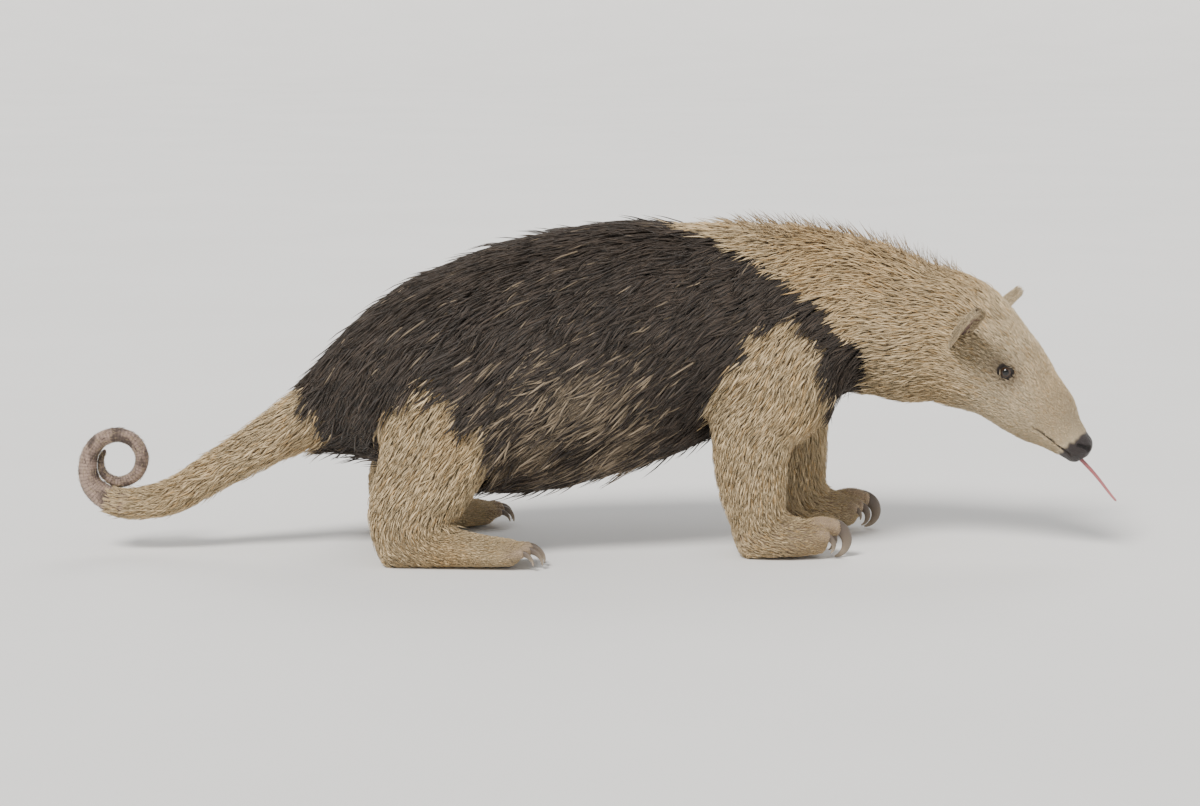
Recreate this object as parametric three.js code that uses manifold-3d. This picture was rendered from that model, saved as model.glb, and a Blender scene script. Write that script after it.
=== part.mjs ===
// A southern tamandua, the collared lesser anteater, as a life-size still model walking on all fours.
// Millimetres, +X towards the head, +Y towards the animal's left, +Z up, feet on z = 0.
// The trunk, neck and head share one axis. Legs, feet, toes, claws and tail are tubes along their own.
import * as THREE from 'three';
import Module from 'manifold-3d';

const wasm = await Module();
wasm.setup();

// Driving dimensions

const GAP = 0.3;
const LEFT = 1;
const RIGHT = -1;
const FAR = 500;
const CORE_DEPTH = 4.5;

// The axis from the rump to the snout: x, y, z, half depth, half width, roll in degrees.
// The head turns and leans a little towards the animal's right.
const SPINE = [
  [-192, 0, 97.5, 25, 24, 0],
  [-164, 0, 107.5, 46.5, 46, 0],
  [-121, 0, 118, 69.5, 66, 0],
  [-70, 0, 125, 83.5, 76, 0],
  [-19.6, 0, 136, 85.5, 77, 0],
  [29.4, 0, 147, 82, 73, 0],
  [72.8, 0, 155.5, 72, 65, 0],
  [113.4, 0, 161.5, 65, 57, 0],
  [150, 0, 164, 59, 50, 2],
  [184, -2, 161, 53, 46, 5],
  [216, -8.5, 150.9, 51.3, 42, 9],
  [243.2, -17.5, 145.8, 47.6, 38, 12],
  [260.3, -25, 135.5, 42.3, 33, 13],
  [278.6, -32, 122, 34, 27, 13],
  [294.8, -38.5, 105.8, 27.6, 21, 13],
  [308.8, -44.5, 93, 22.6, 16, 13],
  [318, -49, 83, 15.4, 12.5, 13],
  [327.3, -52.5, 74, 11.4, 10, 13],
];
const SPINE_LAST = SPINE.length - 1;

// Where the black vest ends, seen from the side: x, z from the withers to the chest.
const VEST_EDGE = [
  [32, 262], [55, 232], [94, 212], [130, 190], [154, 168], [172, 142], [186, 108], [196, 60],
];

// Axis stations on the spine for the face, as station numbers
const HEAD_STARTS_AT = 11.1;
const EYE_AT = 13.05;
const NOSE_STARTS_AT = 16.35;

const EYE = { radius: 5.4, angle: 13, sink: 4, lid: 1.8, slitWide: 4.7, slitHigh: 3.6 };

// An ear is a cupped leaf: half width at root and tip before rounding, half wall at root and tip
const EAR = {
  at: 11.3, angle: 2, length: 54, root: 11, rootHalf: 5, tipHalf: 16, roundness: 2.6, blunt: 0.03,
  cup: 5.5, wallRoot: 2.4, wallTip: 1.1, turnAhead: 1.3, rows: 8, columns: 6,
};

// How far an ear points ahead, out of the head and up
const EAR_RISE = [0.22, 0.66, 0.62];
const NOSTRIL = { at: 16.95, angle: 48, ahead: 5.6, radius: 2.3 };
const LIPS = { from: 13.9, to: 17.3, angleBack: -22, angleFront: -30, bead: 1.9, groove: 1.0 };
const MOUTH = { ahead: 8.5, low: 4, radius: 3.2 };
const TONGUE = { length: 37, root: 9, low: 4, radius: 2.1, tip: 1.1, flat: 0.8, turn: [-0.04, 0.1, -0.06] };

// Legs: x, y, z, half fore-and-aft, half width. The y of the right side is mirrored.
const RIGHT_FORELEG = [
  [122, 35, 143, 45, 26],
  [116, 41, 110, 42, 25],
  [104, 47, 86, 31.5, 22],
  [100.5, 50, 60, 25, 20.5],
  [103, 52, 36, 21, 19],
  [107, 53, 15, 14, 13],
];
const LEFT_FORELEG = [
  [124, 36, 143, 41, 26],
  [131, 41, 110, 37, 25],
  [138, 46, 86, 29.5, 22],
  [142, 49, 60, 25, 20.5],
  [146, 50, 38, 21, 19],
  [152, 51, 18, 14, 12],
];
const HINDLEG = [
  [-102, 41, 110, 35, 28],
  [-112, 51, 83, 40, 26],
  [-126, 60, 53, 33.5, 22.5],
  [-137, 66, 31, 27, 19],
  [-141, 68, 13, 17, 12],
];

// Feet: x, y, z, half height, half width, heel first
const RIGHT_HAND = [
  [99, 53, 12.5, 14, 15], [113, 54, 14.5, 16, 19], [129, 55, 13.5, 14.5, 19.5], [145, 55, 12.5, 11.5, 17],
];
const LEFT_HAND = [
  [146, 51, 12.5, 14, 15], [158, 51, 14.5, 16, 18], [170, 50, 14.5, 14, 18.5], [182, 49, 13.5, 11.5, 16.5],
];
const RIGHT_HIND_FOOT = [
  [-147, 69, 16, 17, 15], [-120, 71, 13.5, 15.5, 17], [-92, 74, 10.5, 12, 18.5], [-67, 77, 9, 9.8, 18.5],
];
const LEFT_HIND_FOOT = [
  [-149, 66, 16, 17, 15], [-127, 71, 13.5, 15.5, 17], [-103, 78, 10.5, 12, 18.5], [-81, 85, 9, 9.8, 18.5],
];
const HAND_CAP = 9;
const FOOT_CAP = 8;

// Digits, from the innermost outwards: sideways place, toe radius and length, then the claw's length,
// half depth at its root and curl, how far the digit turns outwards and dips, and its height on the foot
const FRONT_DIGITS = [
  { side: -12.5, toe: 5.0, reach: 5, claw: 11, thick: 2.6, curl: 100, yaw: -20, pitch: 5, lift: 4 },
  { side: -5.5, toe: 6.0, reach: 9.5, claw: 19, thick: 3.6, curl: 150, yaw: -10, pitch: 5, lift: 5.2 },
  { side: 4, toe: 7.0, reach: 14, claw: 29, thick: 5.8, curl: 160, yaw: -2, pitch: 6, lift: 9.4 },
  { side: 12.5, toe: 5.4, reach: 6, claw: 15, thick: 3.0, curl: 130, yaw: 10, pitch: 5, lift: 4 },
];
const HIND_DIGITS = [
  { side: -14.5, toe: 4.2, reach: 8.5, claw: 12.5, thick: 2.5, curl: 95, yaw: -14, pitch: -11, lift: 1 },
  { side: -8, toe: 4.7, reach: 12.5, claw: 16, thick: 2.9, curl: 102, yaw: -7, pitch: -11, lift: 1 },
  { side: -0.6, toe: 4.9, reach: 14.5, claw: 17, thick: 3.0, curl: 105, yaw: 0, pitch: -11, lift: 1 },
  { side: 7, toe: 4.7, reach: 13.5, claw: 17, thick: 3.0, curl: 102, yaw: 7, pitch: -11, lift: 1 },
  { side: 14, toe: 4.4, reach: 9.5, claw: 14, thick: 2.6, curl: 97, yaw: 15, pitch: -11, lift: 1 },
];
const TOE = { root: 9, rootDrop: 0.9, taper: 0.86, capEnd: 2.5 };
const CLAW_WIDTH_SHARE = 0.62;
const CLAW_TAPER = { by: 0.8, power: 1.4 };
const CLAW_ROOT = 0.6;
const CLAW_MESH = { sides: 6, capStart: 1.2, capEnd: 0.5 };

// Tail: x, y, z and radius of the straight part, then the curl's turn in degrees, radius and thickness
const TAIL_STEM = [
  [-172, 0, 106, 20], [-203, 0, 93.5, 20.5], [-234, 0, 75.5, 16.8], [-268, 0, 56, 13.6],
  [-302, 0, 37.2, 11.8],
];
const CURL_CENTRE = [-336, 64.5];
const TAIL_CURL = [
  [0, 30.2, 9.3], [45, 25.4, 7.4], [90, 20.2, 6.1], [135, 17.9, 5.4], [180, 17.2, 5.0], [225, 16.9, 4.8],
  [270, 16.8, 4.6], [315, 16.6, 4.2], [360, 16.2, 3.7], [405, 14.3, 2.9], [450, 11.6, 2.1], [480, 10.7, 1.4],
];
const CURL_DRIFT = 3;

// Heights of the rings of a rounded end, as shares of the cap
const FINE_DOME = [0.32, 0.66, 0.9];

// Coat locks of the vest, and those that stand along the nape. Stand is how far a tip lifts off the core.
const VEST_LOCK = {
  length: 70, halfWidth: 17, thick: 2.3, stand: 4.5, droop: 20, hang: 4.5, row: 47, around: 34,
  from: 0.55, to: 9.4, fewest: 6, jitter: 6, clearOfEdge: 12, seed: 7,
};
const NAPE_LOCK = {
  length: 34, halfWidth: 7.5, thick: 1.6, stand: 9, droop: 10, row: 21, spread: 17,
  from: 6.7, to: 10.9, jitter: 5,
};
const LOCK_ROOT = -0.05;

// A seeded source of numbers from 0 to 1
function seeded(seed) {
  let state = seed;
  return () => {
    state = (state * 16807) % 2147483647;
    return state / 2147483647;
  };
}

// Solids from rings of points

function solidOf(vertices, triangles) {
  let volume = 0;
  for (const [a, b, c] of triangles) {
    volume += vertices[a].dot(new THREE.Vector3().crossVectors(vertices[b], vertices[c]));
  }
  const facing = volume < 0 ? triangles.map(([a, b, c]) => [a, c, b]) : triangles;
  return new wasm.Manifold(new wasm.Mesh({
    numProp: 3,
    vertProperties: new Float32Array(vertices.flatMap((v) => v.toArray())),
    triVerts: new Uint32Array(facing.flat()),
  }));
}

// Rings of equal length, closed by a point before the first and one after the last
function skinRings(rings, first, last) {
  const sides = rings[0].length;
  const vertices = [first, ...rings.flat(), last];
  const at = (ring, j) => 1 + ring * sides + (j % sides);
  const end = vertices.length - 1;
  const triangles = [];
  for (let j = 0; j < sides; j += 1) {
    triangles.push([0, at(0, j + 1), at(0, j)], [end, at(rings.length - 1, j), at(rings.length - 1, j + 1)]);
    for (let i = 0; i < rings.length - 1; i += 1) {
      triangles.push([at(i, j), at(i, j + 1), at(i + 1, j)], [at(i, j + 1), at(i + 1, j + 1), at(i + 1, j)]);
    }
  }
  return solidOf(vertices, triangles);
}

// A tube along a smooth path, measured by station number. Angle 0 is the animal's left, 90 its top.
class Tube {
  constructor(rows) {
    this.last = rows.length - 1;
    const places = rows.map(([x, y, z]) => new THREE.Vector3(x, y, z));
    const sizes = rows.map((row) => new THREE.Vector3(row[3], row[4] ?? row[3], row[5] ?? 0));
    this.path = new THREE.CatmullRomCurve3(places, false, 'centripetal');
    this.sizes = new THREE.CatmullRomCurve3(sizes, false, 'catmullrom', 0.5);
  }

  frame(station) {
    const t = THREE.MathUtils.clamp(station / this.last, 0, 1);
    const along = this.path.getTangent(t);
    const size = this.sizes.getPoint(t);
    const side = new THREE.Vector3(0, 1, 0).addScaledVector(along, -along.y).normalize();
    side.applyAxisAngle(along, THREE.MathUtils.degToRad(size.z));
    const up = new THREE.Vector3().crossVectors(along, side);
    return { centre: this.path.getPoint(t), along, side, up, depth: size.x, width: size.y };
  }

  // The place on the skin, with its outward direction and the direction round the tube
  place(station, degrees, lift = 0) {
    const { centre, along, side, up, depth, width } = this.frame(station);
    const a = THREE.MathUtils.degToRad(degrees);
    const [c, s] = [Math.cos(a), Math.sin(a)];
    const out = side.clone().multiplyScalar(c / width).addScaledVector(up, s / depth).normalize();
    const across = side.clone().multiplyScalar(-width * s).addScaledVector(up, depth * c).normalize();
    const point = centre.addScaledVector(side, width * c).addScaledVector(up, depth * s);
    return { point: point.addScaledVector(out, lift), out, across, along };
  }

  // How many stations one millimetre is worth here
  perMillimetre(station) {
    const [low, high] = [Math.max(0, station - 0.2), Math.min(this.last, station + 0.2)];
    return (high - low) / this.frame(low).centre.distanceTo(this.frame(high).centre);
  }

  // A closed solid from one station to another. A cap of 0 leaves a flat end, half a gap short.
  solid({
    from = 0, to = this.last, steps, sides, capStart = 0, capEnd = 0, grow = 0, inset = () => 0,
    dome = [0.65],
  }) {
    const ring = (station, scale, shift) => {
      const { centre, along, side, up, depth, width } = this.frame(station);
      centre.addScaledVector(along, shift);
      return Array.from({ length: sides }, (_, j) => {
        const a = (2 * Math.PI * j) / sides;
        const radial = side.clone().multiplyScalar((width + grow) * scale * Math.cos(a))
          .addScaledVector(up, (depth + grow) * scale * Math.sin(a));
        const point = centre.clone().add(radial);
        return point.addScaledVector(radial.normalize(), -inset(point));
      });
    };
    const pole = (station, shift) => {
      const { centre, along } = this.frame(station);
      return centre.addScaledVector(along, shift);
    };
    const rings = [];
    if (capStart) {
      dome.toReversed().forEach((k) => rings.push(ring(from, Math.sqrt(1 - k * k), -k * (capStart + grow))));
    }
    for (let i = 0; i <= steps; i += 1) {
      const flatShift = (i === 0 && !capStart ? 1 : 0) - (i === steps && !capEnd ? 1 : 0);
      rings.push(ring(from + ((to - from) * i) / steps, 1, flatShift * (GAP / 2 - grow)));
    }
    if (capEnd) {
      dome.forEach((k) => rings.push(ring(to, Math.sqrt(1 - k * k), k * (capEnd + grow))));
    }
    return skinRings(
      rings,
      pole(from, capStart ? -(capStart + grow) : GAP / 2 - grow),
      pole(to, capEnd ? capEnd + grow : grow - GAP / 2),
    );
  }
}

// Solids from three.js shapes

function fromGeometry(geometry) {
  const position = geometry.getAttribute('position');
  const key = new Map();
  const vertices = [];
  const ids = Array.from({ length: position.count }, (_, i) => {
    const v = new THREE.Vector3().fromBufferAttribute(position, i);
    const text = v.toArray().map((n) => n.toFixed(4)).join();
    if (!key.has(text)) {
      key.set(text, vertices.length);
      vertices.push(v);
    }
    return key.get(text);
  });
  const index = geometry.index ? Array.from(geometry.index.array) : ids.map((_, i) => i);
  const triangles = [];
  for (let i = 0; i < index.length; i += 3) {
    const t = [ids[index[i]], ids[index[i + 1]], ids[index[i + 2]]];
    if (new Set(t).size === 3) triangles.push(t);
  }
  return solidOf(vertices, triangles);
}

function ball(centre, radius, detail = 12) {
  const sphere = new THREE.SphereGeometry(radius, detail, Math.ceil(detail * 0.6));
  return fromGeometry(sphere.translate(...centre.toArray()));
}

// Everything above the floor
function aboveFloor() {
  return fromGeometry(new THREE.BoxGeometry(2 * FAR, 2 * FAR, FAR).translate(0, 0, FAR / 2));
}

// Everything behind the vest's edge, moved forward by shift
function behindVestEdge(shift) {
  const edge = new THREE.SplineCurve(VEST_EDGE.map(([x, z]) => new THREE.Vector2(x + shift, z + shift)));
  const shape = new THREE.Shape([
    new THREE.Vector2(-FAR, FAR), ...edge.getPoints(18), new THREE.Vector2(-FAR, -FAR)]);
  const slab = new THREE.ExtrudeGeometry(shape, { depth: 2 * FAR, bevelEnabled: false });
  return fromGeometry(slab.rotateX(Math.PI / 2).translate(0, FAR, 0));
}

// Everything on the head's side of a plane square to the spine, moved along it by shift
function beyond(tube, station, shift) {
  const { centre, along } = tube.frame(station);
  const turn = new THREE.Quaternion().setFromUnitVectors(new THREE.Vector3(0, 0, 1), along);
  const box = new THREE.BoxGeometry(2 * FAR, 2 * FAR, FAR).translate(0, 0, FAR / 2 + shift);
  return fromGeometry(box.applyQuaternion(turn).translate(...centre.toArray()));
}

function largestBody(solid) {
  return solid.decompose().sort((a, b) => b.volume() - a.volume())[0];
}

// Coat locks

// Shares of a lock's length, stand, width and thickness. The root is sunk.
const LOCK_RINGS = [
  { at: 0.12, sink: 2.4, lift: 0, wide: 0.85, thick: 1 },
  { at: 0.62, sink: 0, lift: 0.62, wide: 0.86, thick: 0.8 },
];

// A flat lock that grows from the core, lies back and down over it and lifts to its tip
function lock(station, angle, core, { length, halfWidth, thick, stand, droop }) {
  const pace = Math.min(length * spine.perMillimetre(station), station + LOCK_ROOT);
  const turn = -droop * Math.cos(THREE.MathUtils.degToRad(angle));
  const place = (at, lift) => spine.place(station - pace * at, angle + turn * at, lift - core);
  const ring = ({ at, sink, lift, wide, thick: share }) => {
    const { point, out, across } = place(at, stand * lift - sink);
    return [halfWidth * wide, thick * share, -halfWidth * wide, -thick * share]
      .map((by, i) => point.clone().addScaledVector(i % 2 ? out : across, by));
  };
  const root = place(LOCK_ROOT, -LOCK_RINGS[0].sink * 2).point;
  return skinRings(LOCK_RINGS.map(ring), root, place(1, stand).point);
}

function vestEdgeX(z) {
  for (let i = 1; i < VEST_EDGE.length; i += 1) {
    const [[x0, z0], [x1, z1]] = [VEST_EDGE[i - 1], VEST_EDGE[i]];
    if (z <= z0 && z >= z1) return x0 + ((x1 - x0) * (z0 - z)) / (z0 - z1);
  }
  return VEST_EDGE[0][0];
}

// How deep the vest's core lies under the outline: nothing at the vest's edge, its full depth behind it
function coreInset(point) {
  return CORE_DEPTH * THREE.MathUtils.smoothstep(vestEdgeX(point.z) - point.x, 2, 34);
}

const spine = new Tube(SPINE);

const SLICE = { every: 0.25, reach: 14 };

function insideTube(tube, point) {
  for (let k = 0; k <= tube.last; k += SLICE.every) {
    const { centre, along, side, up, depth, width } = tube.frame(k);
    const from = point.clone().sub(centre);
    const off = Math.hypot(from.dot(side) / width, from.dot(up) / depth, from.dot(along) / SLICE.reach);
    if (off < 1) return true;
  }
  return false;
}

function vestLocks(hiddenBy) {
  const random = seeded(VEST_LOCK.seed);
  const locks = [];
  let station = VEST_LOCK.from;
  for (let row = 0; station < VEST_LOCK.to; row += 1) {
    const { depth, width } = spine.frame(station);
    const around = Math.max(VEST_LOCK.fewest, Math.round((Math.PI * (depth + width)) / VEST_LOCK.around));
    for (let k = 0; k < around; k += 1) {
      const angle = ((k + (row % 2) / 2) * 360) / around + VEST_LOCK.jitter * (random() - 0.5);
      const [lengthDraw, standDraw] = [random(), random()];
      const { point } = spine.place(station, angle);
      const clear = vestEdgeX(point.z) - point.x > VEST_LOCK.clearOfEdge;
      if (clear && !hiddenBy.some((tube) => insideTube(tube, point))) {
        const under = Math.max(0, -Math.sin(THREE.MathUtils.degToRad(angle)));
        locks.push(lock(station, angle, CORE_DEPTH, {
          ...VEST_LOCK,
          length: VEST_LOCK.length * (0.85 + 0.3 * lengthDraw),
          stand: VEST_LOCK.stand * (0.9 + 0.25 * standDraw) + VEST_LOCK.hang * under ** 3,
        }));
      }
    }
    station += VEST_LOCK.row * spine.perMillimetre(station);
  }
  return locks;
}

// Rows of two and three locks in turn along the top of the neck
function napeLocks() {
  const random = seeded(VEST_LOCK.seed);
  const locks = [];
  let station = NAPE_LOCK.from;
  for (let row = 0; station < NAPE_LOCK.to; row += 1) {
    const count = 2 + (row % 2);
    for (let k = 0; k < count; k += 1) {
      const angle = 90 + NAPE_LOCK.spread * (k - (count - 1) / 2) + NAPE_LOCK.jitter * (random() - 0.5);
      locks.push(lock(station + 0.15 * (random() - 0.5), angle, 0, {
        ...NAPE_LOCK,
        length: NAPE_LOCK.length * (0.8 + 0.4 * random()),
        stand: NAPE_LOCK.stand * (0.75 + 0.5 * random()),
      }));
    }
    station += NAPE_LOCK.row * spine.perMillimetre(station);
  }
  return locks;
}

// Head details

// The eye's centre, and the directions out of its socket, along the head and up the face
function eyePlace(side) {
  const angle = side === LEFT ? EYE.angle : 180 - EYE.angle;
  const { point, out, along } = spine.place(EYE_AT, angle, -EYE.sink);
  return { centre: point, out, along };
}

function eyelids(side) {
  const { centre, out, along } = eyePlace(side);
  const basis = new THREE.Matrix4().makeBasis(along, new THREE.Vector3().crossVectors(out, along), out);
  const slit = new THREE.SphereGeometry(1, 10, 6).scale(EYE.slitWide, EYE.slitHigh, EYE.radius * 3);
  const opening = centre.clone().addScaledVector(out, EYE.radius * 2);
  const hood = ball(centre, EYE.radius + EYE.lid, 12);
  return hood.subtract(fromGeometry(slit.applyMatrix4(basis).translate(...opening.toArray())));
}

// A cupped leaf, thickest at its root. Its opening looks forward and out.
function ear(side) {
  const angle = side === LEFT ? EAR.angle : 180 - EAR.angle;
  const { point, out, along } = spine.place(EAR.at, angle, -EAR.root);
  const { side: left, up } = spine.frame(EAR.at);
  const ahead = new THREE.Vector3(along.x, along.y, 0).normalize();
  const rise = ahead.clone().multiplyScalar(EAR_RISE[0]).addScaledVector(left, EAR_RISE[1] * side);
  rise.addScaledVector(up, EAR_RISE[2]).normalize();
  const open = ahead.multiplyScalar(EAR.turnAhead).add(out);
  open.addScaledVector(rise, -open.dot(rise)).normalize();
  const across = new THREE.Vector3().crossVectors(rise, open);
  const sheet = (facing) => Array.from({ length: EAR.rows }, (_, i) => {
    const u = i / (EAR.rows - 1);
    const rounding = Math.sqrt(Math.max(EAR.blunt, 1 - u ** EAR.roundness));
    const half = THREE.MathUtils.lerp(EAR.rootHalf, EAR.tipHalf, u) * rounding;
    const wall = THREE.MathUtils.lerp(EAR.wallRoot, EAR.wallTip, u);
    return Array.from({ length: EAR.columns + 1 }, (_2, j) => {
      const v = (2 * j) / EAR.columns - 1;
      const curl = EAR.cup * (v * v - 0.45) * Math.sin(Math.PI * THREE.MathUtils.lerp(0.18, 0.8, u));
      return point.clone().addScaledVector(rise, EAR.length * u).addScaledVector(across, half * v)
        .addScaledVector(open, curl + facing * wall);
    });
  });
  const [front, back] = [sheet(1), sheet(-1)];
  const rings = front.map((line, i) => [...line, ...back[i].toReversed()]);
  const middle = (i) => front[i][EAR.columns / 2].clone().add(back[i][EAR.columns / 2]).multiplyScalar(0.5);
  return skinRings(rings, middle(0), middle(EAR.rows - 1).addScaledVector(rise, 0.8));
}

function lipTube(side, radius) {
  const rows = Array.from({ length: 7 }, (_, i) => {
    const share = i / 6;
    const angle = THREE.MathUtils.lerp(LIPS.angleBack, LIPS.angleFront, share);
    const station = THREE.MathUtils.lerp(LIPS.from, LIPS.to, share);
    const { point } = spine.place(station, side === LEFT ? angle : 180 - angle);
    return [...point.toArray(), radius * Math.min(1, 0.35 + share * 2)];
  });
  return new Tube(rows).solid({ steps: 6, sides: 5, capStart: radius * 0.4, capEnd: radius * 0.4 });
}

function nostril(side) {
  const { point, along } = spine.place(NOSTRIL.at, side === LEFT ? NOSTRIL.angle : 180 - NOSTRIL.angle);
  return ball(point.addScaledVector(along, NOSTRIL.ahead), NOSTRIL.radius, 8);
}

// The tongue runs straight out of the mouth along the snout's axis, a little lower
function tongueTube() {
  const { centre, along, up } = spine.frame(SPINE_LAST);
  const start = centre.addScaledVector(up, -TONGUE.low).addScaledVector(along, MOUTH.ahead - TONGUE.root);
  const way = along.clone().add(new THREE.Vector3(...TONGUE.turn)).normalize();
  const rows = [0, 0.3, 0.65, 1].map((share) => {
    const at = start.clone().addScaledVector(way, (TONGUE.length + TONGUE.root) * share);
    const radius = THREE.MathUtils.lerp(TONGUE.radius, TONGUE.tip, share);
    return [...at.toArray(), radius * TONGUE.flat, radius];
  });
  return new Tube(rows);
}

// Feet

// Toes and claws at the front of a foot. Each claw bends down in one plane, turned by its yaw.
function digit(foot, side, plan) {
  const { centre, along, side: left, up } = foot.frame(foot.last);
  const yaw = THREE.MathUtils.degToRad(plan.yaw * side);
  const base = centre.addScaledVector(left, plan.side * side).addScaledVector(up, plan.lift);
  const heading = new THREE.Vector3(along.x, along.y, 0).normalize();
  heading.applyAxisAngle(new THREE.Vector3(0, 0, 1), yaw);
  const down = new THREE.Vector3(0, 0, -1);
  const level = (degrees) => {
    const a = THREE.MathUtils.degToRad(degrees);
    return heading.clone().multiplyScalar(Math.cos(a)).addScaledVector(down, Math.sin(a));
  };
  const knuckle = base.clone().addScaledVector(level(plan.pitch), plan.reach);
  const root = base.clone().addScaledVector(level(plan.pitch), -TOE.root);
  root.addScaledVector(up, -TOE.rootDrop * plan.lift);
  const toe = new Tube([root, base, knuckle].map((at, i) => (
    [...at.toArray(), plan.toe * (i === 2 ? TOE.taper : 1)])));
  const radius = plan.claw / THREE.MathUtils.degToRad(plan.curl);
  const nail = knuckle.clone().addScaledVector(level(plan.pitch), -plan.thick * CLAW_ROOT);
  const rows = [0, 0.25, 0.5, 0.75, 1].map((share) => {
    const turn = plan.curl * share;
    const a = THREE.MathUtils.degToRad(turn);
    const at = nail.clone().addScaledVector(level(plan.pitch), radius * Math.sin(a))
      .addScaledVector(level(plan.pitch + 90), radius * (1 - Math.cos(a)));
    const size = plan.thick * (1 - CLAW_TAPER.by * share ** CLAW_TAPER.power);
    return [...at.toArray(), size, size * CLAW_WIDTH_SHARE];
  });
  return { toe, claw: new Tube(rows) };
}

// The model

const materials = {
  vest: new THREE.MeshStandardMaterial({ color: '#1d1713', roughness: 0.9 }),
  pale: new THREE.MeshStandardMaterial({ color: '#c9ab7c', roughness: 0.9 }),
  bare: new THREE.MeshStandardMaterial({ color: '#8a6f62', roughness: 0.7 }),
  nose: new THREE.MeshStandardMaterial({ color: '#241c1b', roughness: 0.45 }),
  eye: new THREE.MeshStandardMaterial({ color: '#0c0908', roughness: 0.1 }),
  claw: new THREE.MeshStandardMaterial({ color: '#4a4037', roughness: 0.5 }),
  tongue: new THREE.MeshStandardMaterial({ color: '#8f4a52', roughness: 0.4 }),
};

const model = new THREE.Group();
model.name = 'southern_tamandua';

function addNode(name, solid, material) {
  const body = largestBody(solid);
  const { vertProperties, triVerts, numProp } = body.getMesh();
  if (numProp !== 3) throw new Error(`${name} carries more than positions`);
  const geometry = new THREE.BufferGeometry();
  geometry.setAttribute('position', new THREE.BufferAttribute(Float32Array.from(vertProperties), 3));
  geometry.setIndex(new THREE.BufferAttribute(Uint32Array.from(triVerts), 1));
  geometry.computeVertexNormals();
  const mesh = new THREE.Mesh(geometry, material);
  mesh.name = name;
  model.add(mesh);
}

const mirrored = (rows, side) => rows.map(([x, y, ...rest]) => [x, y * side, ...rest]);

const foreleg = {
  split: 2.15, cap: 30, footCap: HAND_CAP, digits: FRONT_DIGITS, clawSteps: 7,
};
const hindleg = {
  split: 1.9, cap: 24, footCap: FOOT_CAP, digits: HIND_DIGITS, clawSteps: 4,
};
const limbs = [
  { ...foreleg, at: 'fore', word: 'right', side: RIGHT, leg: RIGHT_FORELEG, foot: RIGHT_HAND },
  { ...foreleg, at: 'fore', word: 'left', side: LEFT, leg: LEFT_FORELEG, foot: LEFT_HAND },
  { ...hindleg, at: 'hind', word: 'right', side: RIGHT, leg: HINDLEG, foot: RIGHT_HIND_FOOT },
  { ...hindleg, at: 'hind', word: 'left', side: LEFT, leg: HINDLEG, foot: LEFT_HIND_FOOT },
].map((limb) => ({
  ...limb, name: `${limb.at}leg_${limb.word}`, footName: `${limb.at}foot_${limb.word}`,
  tube: new Tube(mirrored(limb.leg, limb.side)), footTube: new Tube(mirrored(limb.foot, limb.side)),
}));

const upperLeg = (limb, grow) => limb.tube.solid({
  to: limb.split, steps: 5, sides: 13, capStart: limb.cap, dome: FINE_DOME, grow });
const footShape = (limb, grow) => limb.footTube.solid({
  steps: 4, sides: 12, capStart: 9, capEnd: limb.footCap, dome: [0.5, 0.85], grow });

// Tail

const curlRows = TAIL_CURL.map(([turn, radius, thick]) => {
  const a = THREE.MathUtils.degToRad(-90 - turn);
  const drift = (CURL_DRIFT * turn) / TAIL_CURL.at(-1)[0];
  return [CURL_CENTRE[0] + radius * Math.cos(a), drift, CURL_CENTRE[1] + radius * Math.sin(a), thick];
});
const tail = new Tube([...TAIL_STEM, ...curlRows]);
const [STEM_SPLIT, CURL_SPLIT, TIP_SPLIT] = [2.6, 5, 9.8];

// Trunk, neck and head

const floor = aboveFloor();
const trunk = spine.solid({ to: 11, steps: 16, sides: 22, capStart: 7, dome: FINE_DOME, inset: coreInset });
const front = { from: 5.5, steps: 34, sides: 20, capEnd: 9, dome: FINE_DOME };
const smooth = spine.solid(front);
const grownSmooth = spine.solid({ ...front, grow: GAP });
const legSockets = limbs.map((limb) => upperLeg(limb, GAP)).reduce((a, b) => a.add(b));
const tailRoot = tail.solid({ to: STEM_SPLIT, steps: 7, sides: 12, grow: GAP, capStart: 4 });

const locks = vestLocks(limbs.map((limb) => limb.tube));
const vest = locks.reduce((a, b) => a.add(b), trunk).intersect(behindVestEdge(0));
addNode('torso', vest.subtract(legSockets).subtract(tailRoot), materials.vest);

const crested = napeLocks().reduce((a, b) => a.add(b), smooth);
const neck = crested.subtract(behindVestEdge(GAP)).subtract(beyond(spine, HEAD_STARTS_AT, -GAP));
addNode('neck', neck.subtract(legSockets), materials.pale);

const tongue = tongueTube();
const headFeatures = [LEFT, RIGHT].flatMap((side) => [eyelids(side), lipTube(side, LIPS.bead)]);
const headCuts = [LEFT, RIGHT].flatMap((side) => [
  ball(eyePlace(side).centre, EYE.radius + GAP, 12), lipTube(side, LIPS.groove), nostril(side)]);
const snout = spine.frame(SPINE_LAST);
const mouth = snout.centre.addScaledVector(snout.up, -MOUTH.low).addScaledVector(snout.along, MOUTH.ahead);
headCuts.push(ball(mouth, MOUTH.radius, 8));
headCuts.push(tongue.solid({ steps: 6, sides: 8, capStart: 1, capEnd: 1, grow: GAP }));
const wholeHead = headCuts.reduce((a, b) => a.subtract(b), headFeatures.reduce((a, b) => a.add(b), crested))
  .intersect(beyond(spine, HEAD_STARTS_AT, 0));
addNode('head', wholeHead.subtract(beyond(spine, NOSE_STARTS_AT, -GAP)), materials.pale);
addNode('nose_pad', wholeHead.intersect(beyond(spine, NOSE_STARTS_AT, 0)), materials.nose);
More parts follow.
